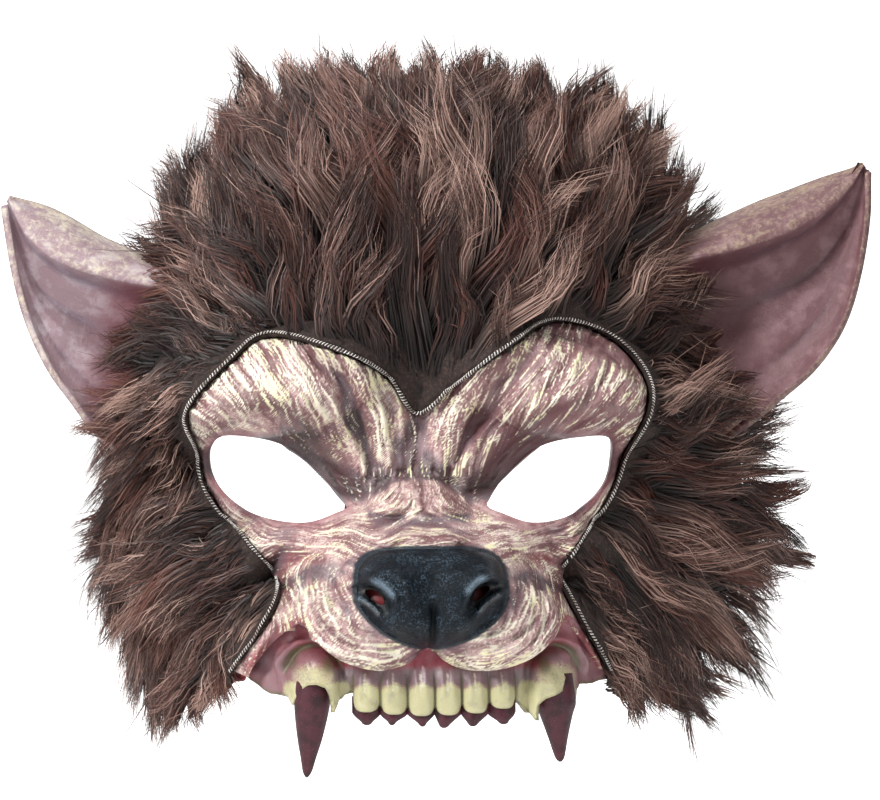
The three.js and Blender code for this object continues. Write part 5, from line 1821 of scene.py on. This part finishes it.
@dataclass
class Hood:
    """The fur hood: a knitted backing cut open round the face, long pile in clumps, and its stitched edge."""

    backing: GridSpec = GridSpec(-60.0, 103.0, 1.0, 84, 130)
    clump_spacing: float = 4.5
    lock_spacing: float = 10.0
    strands: int = 26
    knots: int = 6
    clump_reach: float = 3.6
    strand_width: float = 0.38
    untidy: float = 0.16
    stitch_pitch: float = 0.95
    flat_size: tuple[float, float] = (0.36, 0.22)

    def build(self) -> None:
        """Builds the backing, the pile and the stitching."""
        across, z = skin_grid(self.backing)
        points = skin_point(across, z)
        normals = grid_normals(points)
        surface = Surface.from_grid(points + normals * 1.7, normals, {})
        cover = surface.kept(-opening_distance(points[..., 0], z).ravel())
        backing = surface_piece("fur_backing", cover.thickened(BACKING_WALL, True), FurBacking().build())
        settle(backing, "fur_pile", "fur_hood")
        on_it = self.build_pile() + self.build_stitches()

    def roots(self, rng: np.random.Generator, spacing: float) -> tuple[Array, Array, Array]:
        """Scatters roots over the hood.

        Args:
            rng: The random source.
            spacing: How far apart they are.

        Returns:
            The roots' places, the normals there and their distance from the stitched edge.
        """
        wide = int(330 / spacing)
        tall = int(190 / spacing)
        spec = GridSpec(-59.0, 102.0, 0.985, tall, wide)
        across, z = skin_grid(spec)
        across = across + rng.uniform(-0.55, 0.55, across.shape) * 2 * spec.reach / wide
        z = z + rng.uniform(-0.5, 0.5, z.shape) * 161 / tall
        across, z = np.clip(across, -0.985, 0.985).ravel(), np.clip(z, -59.5, 102.5).ravel()
        x = head_x(across, z)
        gap = -opening_distance(x, z)
        keep = gap > 0.8
        across, z, gap = across[keep], z[keep], gap[keep]
        here = skin_point(across, z, FOLDS)
        beside = skin_point(across + 0.03, z, (), ()) - skin_point(across - 0.03, z, (), ())
        above = skin_point(across, z + 2, (), ()) - skin_point(across, z - 2, (), ())
        return here, unit(np.cross(beside, above)), gap

    def combed(self, here: Array) -> tuple[Array, Array, Array]:
        """The way the fur lies at some places, blended from the comb marks.

        Args:
            here: The places.

        Returns:
            The direction in the front view, the pile's length and its lift.
        """
        total = np.zeros(len(here))
        way = np.zeros((len(here), 3))
        length, lift = np.zeros(len(here)), np.zeros(len(here))
        for mark in COMB:
            gap = (here[:, 0] - mark.x) ** 2 + (here[:, 2] - mark.z) ** 2
            weight = np.exp(-gap / 16.0**2) + 1e-6 / (gap + 1)
            total += weight
            way += weight[:, None] * unit(np.array([mark.to_x, 0, mark.to_z]))
            length += weight * mark.length
            lift += weight * mark.lift
        return unit(way), length / total, lift / total

    def lock_guides(self, rng: np.random.Generator, here: Array, normal: Array, gap: Array,
                    s: Array) -> tuple[Array, Array]:
        """Bends one guide curve for each lock, as it is combed.

        Args:
            rng: The random source.
            here: The locks' roots.
            normal: The normals there.
            gap: The roots' distance from the stitched edge.
            s: The share of its length at each knot.

        Returns:
            The guides from their roots, and the direction each is combed in.
        """
        way, length, lift = self.combed(here)
        count = len(here)
        way = way + self.untidy * rng.standard_normal((count, 3)) * [1, 0, 1]
        way = unit(way - 0.8 * normal * np.sum(way * normal, axis=1, keepdims=True))
        side = np.cross(way, normal)
        length = length * rng.uniform(0.8, 1.2, count) * (0.45 + 0.55 * smooth_step(0, 10, gap))
        lift = lift * rng.uniform(0.6, 1.4, count) * (0.4 + 0.6 * smooth_step(0, 14, gap))
        bend = rng.normal(0, 0.13, count)
        wave = rng.uniform(0.03, 0.085, count)
        phase = rng.uniform(0, 2 * math.pi, count)
        turns = rng.uniform(0.7, 1.3, count)
        swing = np.sin(2 * math.pi * turns[:, None] * s + phase[:, None]) - np.sin(phase[:, None])
        sweep = bend[:, None] * s**2 + wave[:, None] * swing
        out = lift[:, None] * s * (1.35 - 0.8 * s) + 0.04 * np.sin(5 * s + phase[:, None]) * s
        guide = length[:, None, None] * (way[:, None] * (s * 0.94)[None, :, None]
                                         + side[:, None] * sweep[..., None]
                                         + normal[:, None] * out[..., None])
        guide[..., 2] -= length[:, None] * 0.08 * s**2.2
        return guide, way

    def build_pile(self) -> list[str]:
        """Grows the pile: flat tapering strands, gathered in clumps that lie together in wavy locks.

        Returns:
            The names of its pieces.
        """
        rng = np.random.default_rng(SEED + 40)
        s = np.linspace(0, 1, self.knots)
        lock_here, lock_normal, lock_gap = self.roots(rng, self.lock_spacing)
        lock_guide, lock_way = self.lock_guides(rng, lock_here, lock_normal, lock_gap, s)
        here, normal, _ = self.roots(rng, self.clump_spacing)
        reach = here[:, None] - lock_here[None]
        lock = np.argmin(np.linalg.norm(reach, axis=2) * rng.uniform(0.85, 1.15, len(lock_here)), axis=1)
        offset = here - lock_here[lock]
        along = np.sum(offset * lock_way[lock], axis=1, keepdims=True) * lock_way[lock]
        count = len(here)
        firm = 0.34 + 0.42 * smooth_step(5, 40, here[:, 2])
        pull = (firm * rng.uniform(0.45, 0.9, count))[:, None, None] * (s**1.4)[None, :, None]
        own = rng.uniform(0.8, 1.12, count)
        guide = (here[:, None] + normal[:, None] * 1.4 + lock_guide[lock] * own[:, None, None]
                 - (offset - 0.55 * along)[:, None] * pull)
        side = np.cross(lock_way[lock], normal)
        phase = rng.uniform(0, 2 * math.pi, count)[:, None]
        ripple = rng.uniform(0.2, 1.1, count)[:, None] * s * np.sin(7 * s + phase)
        guide = guide + side[:, None] * ripple[..., None]
        guide = guide + normal[:, None] * (rng.normal(0, 1.6, count)[:, None] * s)[..., None]
        return self.grow(rng, here, normal, lock_way[lock], side, lock, guide, s)

    def grow(self, rng: np.random.Generator, here: Array, normal: Array, way: Array, side: Array,
             lock: NDArray[np.int64], guide: Array, s: Array) -> list[str]:
        """Grows each clump's strands round its guide, and makes the pieces.

        Args:
            rng: The random source.
            here: The clumps' roots.
            normal: The normals there.
            way: The combed directions.
            side: The directions across them.
            lock: The number of each clump's lock.
            guide: The clumps' guide curves.
            s: The share of its length at each knot.

        Returns:
            The names of the pieces.
        """
        count = len(here)
        angle = rng.uniform(0, 2 * math.pi, (count, self.strands))
        radius = np.sqrt(rng.uniform(0, 1, (count, self.strands))) * self.clump_reach
        spread = (way[:, None] * (np.cos(angle) * radius)[..., None]
                  + side[:, None] * (np.sin(angle) * radius)[..., None])
        gather = rng.uniform(0.3, 0.98, (count, self.strands))
        hold = 1 - gather[..., None] * s**1.2
        reach = rng.uniform(0.62, 1.04, (count, self.strands))
        base = guide[:, None] + spread[:, :, None] * hold[..., None]
        root = here[:, None, None]
        base = root + (base - root) * (1 - (1 - reach[..., None, None]) * s[None, None, :, None])
        loose = 1.0 + 3.5 * (rng.random((count, self.strands, 1)) > 0.95)
        stray = rng.standard_normal((count, self.strands, 3)) * loose
        base = base + stray[:, :, None] * (s[None, None, :, None] ** 1.5)
        curl = rng.uniform(0, 2 * math.pi, (count, self.strands, 1))
        base = base + side[:, None, None] * (0.35 * np.sin(8 * s + curl) * s)[..., None]
        base = self.within(base)
        run = unit(np.gradient(base, axis=2))
        roll = rng.normal(0, 0.4, (count, self.strands, 1, 1))
        across = unit(np.cross(run, normal[:, None, None] + 0 * run))
        across = across * np.cos(roll) + np.cross(across, run) * np.sin(roll)
        width = self.strand_width * rng.uniform(0.6, 1.4, (count, self.strands, 1)) * (1 - 0.9 * s**1.8)
        left = base - across * width[..., None] / 2
        right = base + across * width[..., None] / 2
        own_tone = rng.normal(0.42, 0.2, lock.max() + 1)[lock] + rng.normal(0, 0.16, count)
        tone = np.clip(own_tone[:, None] + rng.normal(0, 0.2, (count, self.strands)), 0, 1)
        warm = np.clip(rng.normal(0.1, 0.3, lock.max() + 1)[lock][:, None]
                       + 0.1 * rng.random((count, self.strands)), 0, 0.8)
        near_edge = 0.14 * smooth_step(12, 3, -opening_distance(here[:, 0], here[:, 2]))
        shares = s[None, None] + near_edge[:, None, None]
        fibre = FurFibre().build()
        high, right_side = here[:, 2] > 40, here[:, 0] >= 4
        pieces = {
            "fur_crown_left": high & ~right_side, "fur_crown_right": high & right_side,
            "fur_cheek_left": ~high & ~right_side, "fur_cheek_right": ~high & right_side,
        }
        for name, chosen in pieces.items():
            points = np.stack([left[chosen], right[chosen]], axis=3)
            strands = points.shape[0] * points.shape[1]
            first = (np.arange(strands)[:, None] * self.knots + np.arange(self.knots - 1)[None]).ravel() * 2
            faces = np.stack([first, first + 1, first + 3, first + 2], axis=1)
            shape = (points.shape[0], points.shape[1], self.knots, 2)
            marks = {
                "tone": np.broadcast_to(tone[chosen][..., None, None], shape).ravel(),
                "warm": np.broadcast_to(warm[chosen][..., None, None], shape).ravel(),
                "along": np.broadcast_to(shares[chosen][..., None], shape).ravel(),
            }
            settle(new_piece(name, points.reshape(-1, 3), [faces], fibre, marks), "fur_pile", "fur_hood")
        return list(pieces)

    @staticmethod
    def within(base: Array) -> Array:
        """Keeps the pile's tips inside the space that the solids leave for fur.

        Args:
            base: The strands' points.

        Returns:
            The points, drawn in softly near the space's walls.
        """
        low, high = np.array([-106.0, -60.0, -97.0]), np.array([124.0, 92.0, 129.0])
        soft = 8.0
        over = base - (high - soft)
        base = np.where(over > 0, high - soft + soft * np.tanh(over / soft), base)
        under = (low + soft) - base
        return np.where(under > 0, low + soft - soft * np.tanh(under / soft), base)

    def build_stitches(self) -> list[str]:
        """Binds the hood's cut edge: a rolled edge, wound closely with a pale and a dark thread.

        Returns:
            The names of its pieces.
        """
        run = np.concatenate([[0], np.cumsum(np.linalg.norm(np.diff(OPENING, axis=0), axis=1))])
        fine = np.linspace(0.5, run[-1] - 0.5, 1200)
        edge = np.stack([np.interp(fine, run, OPENING[:, k]) for k in (0, 1)], axis=1)
        lift = 1.9
        x, z = edge[:, 0], edge[:, 1]
        here = skin_point(across_at(x, z), z)
        plain = self.hood_normals(x, z)
        path = here + plain * lift
        smooth = path.copy()
        for _ in range(12):
            smooth[1:-1] = (smooth[:-2] + 2 * smooth[1:-1] + smooth[2:]) / 4
        path = np.where(np.linalg.norm(smooth - path, axis=1, keepdims=True) < 3, smooth, path)
        length = np.concatenate([[0], np.cumsum(np.linalg.norm(np.diff(path, axis=0), axis=1))])
        pale = Thread("pale_sewing_thread", "#f0ebe4", "#a3948c").build()
        dark = Thread("dark_sewing_thread", "#15100f", "#2d2320").build()
        self.wound(path, length, plain, "rolled_edge", FurBacking().build(), 0.0, 0.26, 0.0)
        self.wound(path, length, plain, "pale_stitches", pale, 0.26, 0.15, 0.0)
        self.wound(path, length, plain, "dark_stitches", dark, 0.26, 0.17, 0.5)
        return ["rolled_edge", "pale_stitches", "dark_stitches"]

    @staticmethod
    def hood_normals(x: Array, z: Array) -> Array:
        """The normals of the plain head under points of the front view.

        Args:
            x: Distance to the side.
            z: Height.

        Returns:
            The normals.
        """
        low, high = across_at(x - 1, z), across_at(x + 1, z)
        beside = skin_point(high, z, ()) - skin_point(low, z, ())
        above = skin_point(across_at(x, z + 1), z + 1, ()) - skin_point(across_at(x, z - 1), z - 1, ())
        return unit(np.cross(beside, above))

    def wound(self, path: Array, length: Array, plain: Array, name: str, material: bpy.types.Material,
              coil: float, radius: float, phase: float) -> None:
        """Makes one thread wound along the edge, or the edge itself where the coil is 0.

        Args:
            path: The edge's line.
            length: The length along it at each point.
            plain: The normals of the head there.
            name: The piece's name.
            material: Its material.
            coil: The coil's radius.
            radius: The thread's radius.
            phase: The share of a turn that it starts at.
        """
        turns = length[-1] / self.stitch_pitch
        count = int(turns * 7) if coil > 0 else 560
        at = np.linspace(0, length[-1], count)
        middle = np.stack([np.interp(at, length, path[:, k]) for k in range(3)], axis=1)
        up = unit(np.stack([np.interp(at, length, plain[:, k]) for k in range(3)], axis=1))
        along = unit(np.gradient(middle, axis=0))
        side = unit(np.cross(along, up))
        up = np.cross(side, along)
        angle = 2 * math.pi * (at / self.stitch_pitch + phase)
        uneven = 1 + 0.45 * np.sin(at / 1.9 + 2 * np.sin(at / 5.3)) * np.sin(at / 3.1)
        line = middle + (side * (np.cos(angle) * 1.5 * uneven)[:, None] + up * np.sin(angle)[:, None]) * coil
        run = unit(np.gradient(line, axis=0))
        first = unit(np.cross(run, up + 0.3 * side))
        second = np.cross(first, run)
        sides = 4 if coil > 0 else 8
        turn = np.linspace(0, 2 * math.pi, sides, endpoint=False)
        ring = first[:, None] * np.cos(turn)[:, None] + second[:, None] * np.sin(turn)[:, None]
        points = (line[:, None] + ring * radius).reshape(-1, 3)
        a = np.arange(count - 1)[:, None] * sides + np.arange(sides)[None]
        b = np.arange(count - 1)[:, None] * sides + (np.arange(sides)[None] + 1) % sides
        faces = np.stack([a.ravel(), b.ravel(), (b + sides).ravel(), (a + sides).ravel()], axis=1)
        settle(new_piece(name, points, [faces], material), "fur_pile")


# The stage


@dataclass
class Studio:
    """A pale floor that runs up into a backdrop, soft lights and the camera."""

    distance: float = 1500.0
    mm_per_pixel: float = 0.28
    width: int = 880
    height: int = 800
    origin_pixel: tuple[float, float] = (415.0, 470.0)
    azimuth: float = -5.0

    def build(self) -> None:
        """Builds the stage."""
        self.build_backdrop()
        self.build_lights()
        self.build_camera()

    def build_backdrop(self) -> None:
        """Makes the floor with its backdrop."""
        half, back, corner = 9000.0, 6000.0, 2000.0
        profile = [(-6000.0, FLOOR_Z), (back - corner, FLOOR_Z)]
        for step in range(1, 13):
            angle = step / 12 * math.pi / 2
            y = back - corner + corner * math.sin(angle)
            profile.append((y, FLOOR_Z + corner * (1 - math.cos(angle))))
        profile.append((back, 12000.0))
        points = np.array([[x, y, z] for y, z in profile for x in (-half, half)])
        first = np.arange(len(profile) - 1) * 2
        faces = np.stack([first, first + 1, first + 3, first + 2], axis=1)
        mix = Finish("matt_white_backdrop")
        cloudy = mix.add("TexNoise", mix.grain(60.0, 2, 0.5))
        depth = mix.add("SeparateXYZ", {0: mix.place}, 1)
        glow = mix.add("MapRange", {0: depth, 1: 0.1, 2: 0.45}, **SMOOTH)
        coats = [(mix.add("MapRange", {0: cloudy, 1: 0.3, 2: 0.7, 4: 0.05}, **SMOOTH), "#f2f2f2")]
        white = mix.close("#ffffff", coats, [], 0.9, Emission_Color=(1, 1, 1, 1), Emission_Strength=glow)
        new_piece("floor", points, [faces], white)

    def build_lights(self) -> None:
        """Sets up the soft boxes and the sky."""
        world = bpy.data.worlds.new("studio_sky")
        world.use_nodes = True
        world.node_tree.nodes["Background"].inputs[0].default_value = (1, 1, 1, 1)
        world.node_tree.nodes["Background"].inputs[1].default_value = 0.13
        scene = bpy.context.scene
        scene.world = world
        scene.view_settings.view_transform = "Standard"
        for name, place, size, power in (
            ("key", (-1250, -1050, 850), 0.4, 30.0),
            ("fill", (900, -1500, 300), 0.9, 4.0),
            ("top", (-200, -550, 1250), 0.5, 15.0),
        ):
            lamp = bpy.data.lights.new(name, "AREA")
            lamp.shape = "DISK"
            lamp.size = size
            lamp.energy = power
            light = bpy.data.objects.new(name, lamp)
            light.location = Vector(place) * MM
            light.rotation_euler = (Vector((0, 0, 0.01)) - light.location).to_track_quat("-Z", "Y").to_euler()
            scene.collection.objects.link(light)

    def build_camera(self) -> None:
        """Sets the camera where the photograph was taken from."""
        scene = bpy.context.scene
        camera = bpy.data.cameras.new("camera")
        body = bpy.data.objects.new("camera", camera)
        turn = math.radians(self.azimuth)
        look = Vector((-math.sin(turn), math.cos(turn), 0))
        body.location = -look * self.distance * MM
        body.rotation_euler = look.to_track_quat("-Z", "Y").to_euler()
        camera.sensor_fit = "HORIZONTAL"
        camera.sensor_width = 36
        camera.lens = 36 * self.distance / (self.width * self.mm_per_pixel)
        camera.shift_x = (self.width / 2 - self.origin_pixel[0]) / self.width
        camera.shift_y = -(self.height / 2 - self.origin_pixel[1]) / self.width
        camera.clip_end = 50
        scene.collection.objects.link(body)
        scene.camera = body


def main() -> None:
    """Builds the mask, its stage and its camera, and notes the sizes."""
    logging.basicConfig(level=logging.INFO, format="%(name)s: %(message)s")
    Studio().build()
    Face().build()
    Jaw().build()
    fang_paint = FangPaint().build()
    left_profile = ((0, 4.6), (0.28, 5.0), (0.42, 4.6), (0.64, 3.45), (0.82, 2.15), (0.95, 1.3), (1, 0.8))
    right_profile = ((0, 5.2), (0.33, 5.8), (0.46, 4.7), (0.73, 2.75), (0.87, 1.9), (1, 1.1))
    Fang("fang_left", -30.2, -55, -32, -84.6, left_profile).build(fang_paint)
    Fang("fang_right", 36.2, -56, 38.2, -80.6, right_profile).build(fang_paint)
    dusty_pink = EarPaint("dusty_pink_ear_latex", "#8d757b", "#a99a9f", "#5f5062", "#70353e", "#c9bfa6")
    # The right ear's paint is the left one's made darker: painted shade, as the light falls from the left.
    shaded_right_ear_paint = EarPaint("ear_latex_painted_shade", "#644246", "#7c5c60", "#372a33", "#4a1f24", "#9a876f")
    Ear("ear_left", LEFT_EAR, -34, -43).build(dusty_pink.build())
    Ear("ear_right", RIGHT_EAR, -34, -36).build(shaded_right_ear_paint.build())
    Hood().build()


if __name__ == "__main__":
    main()
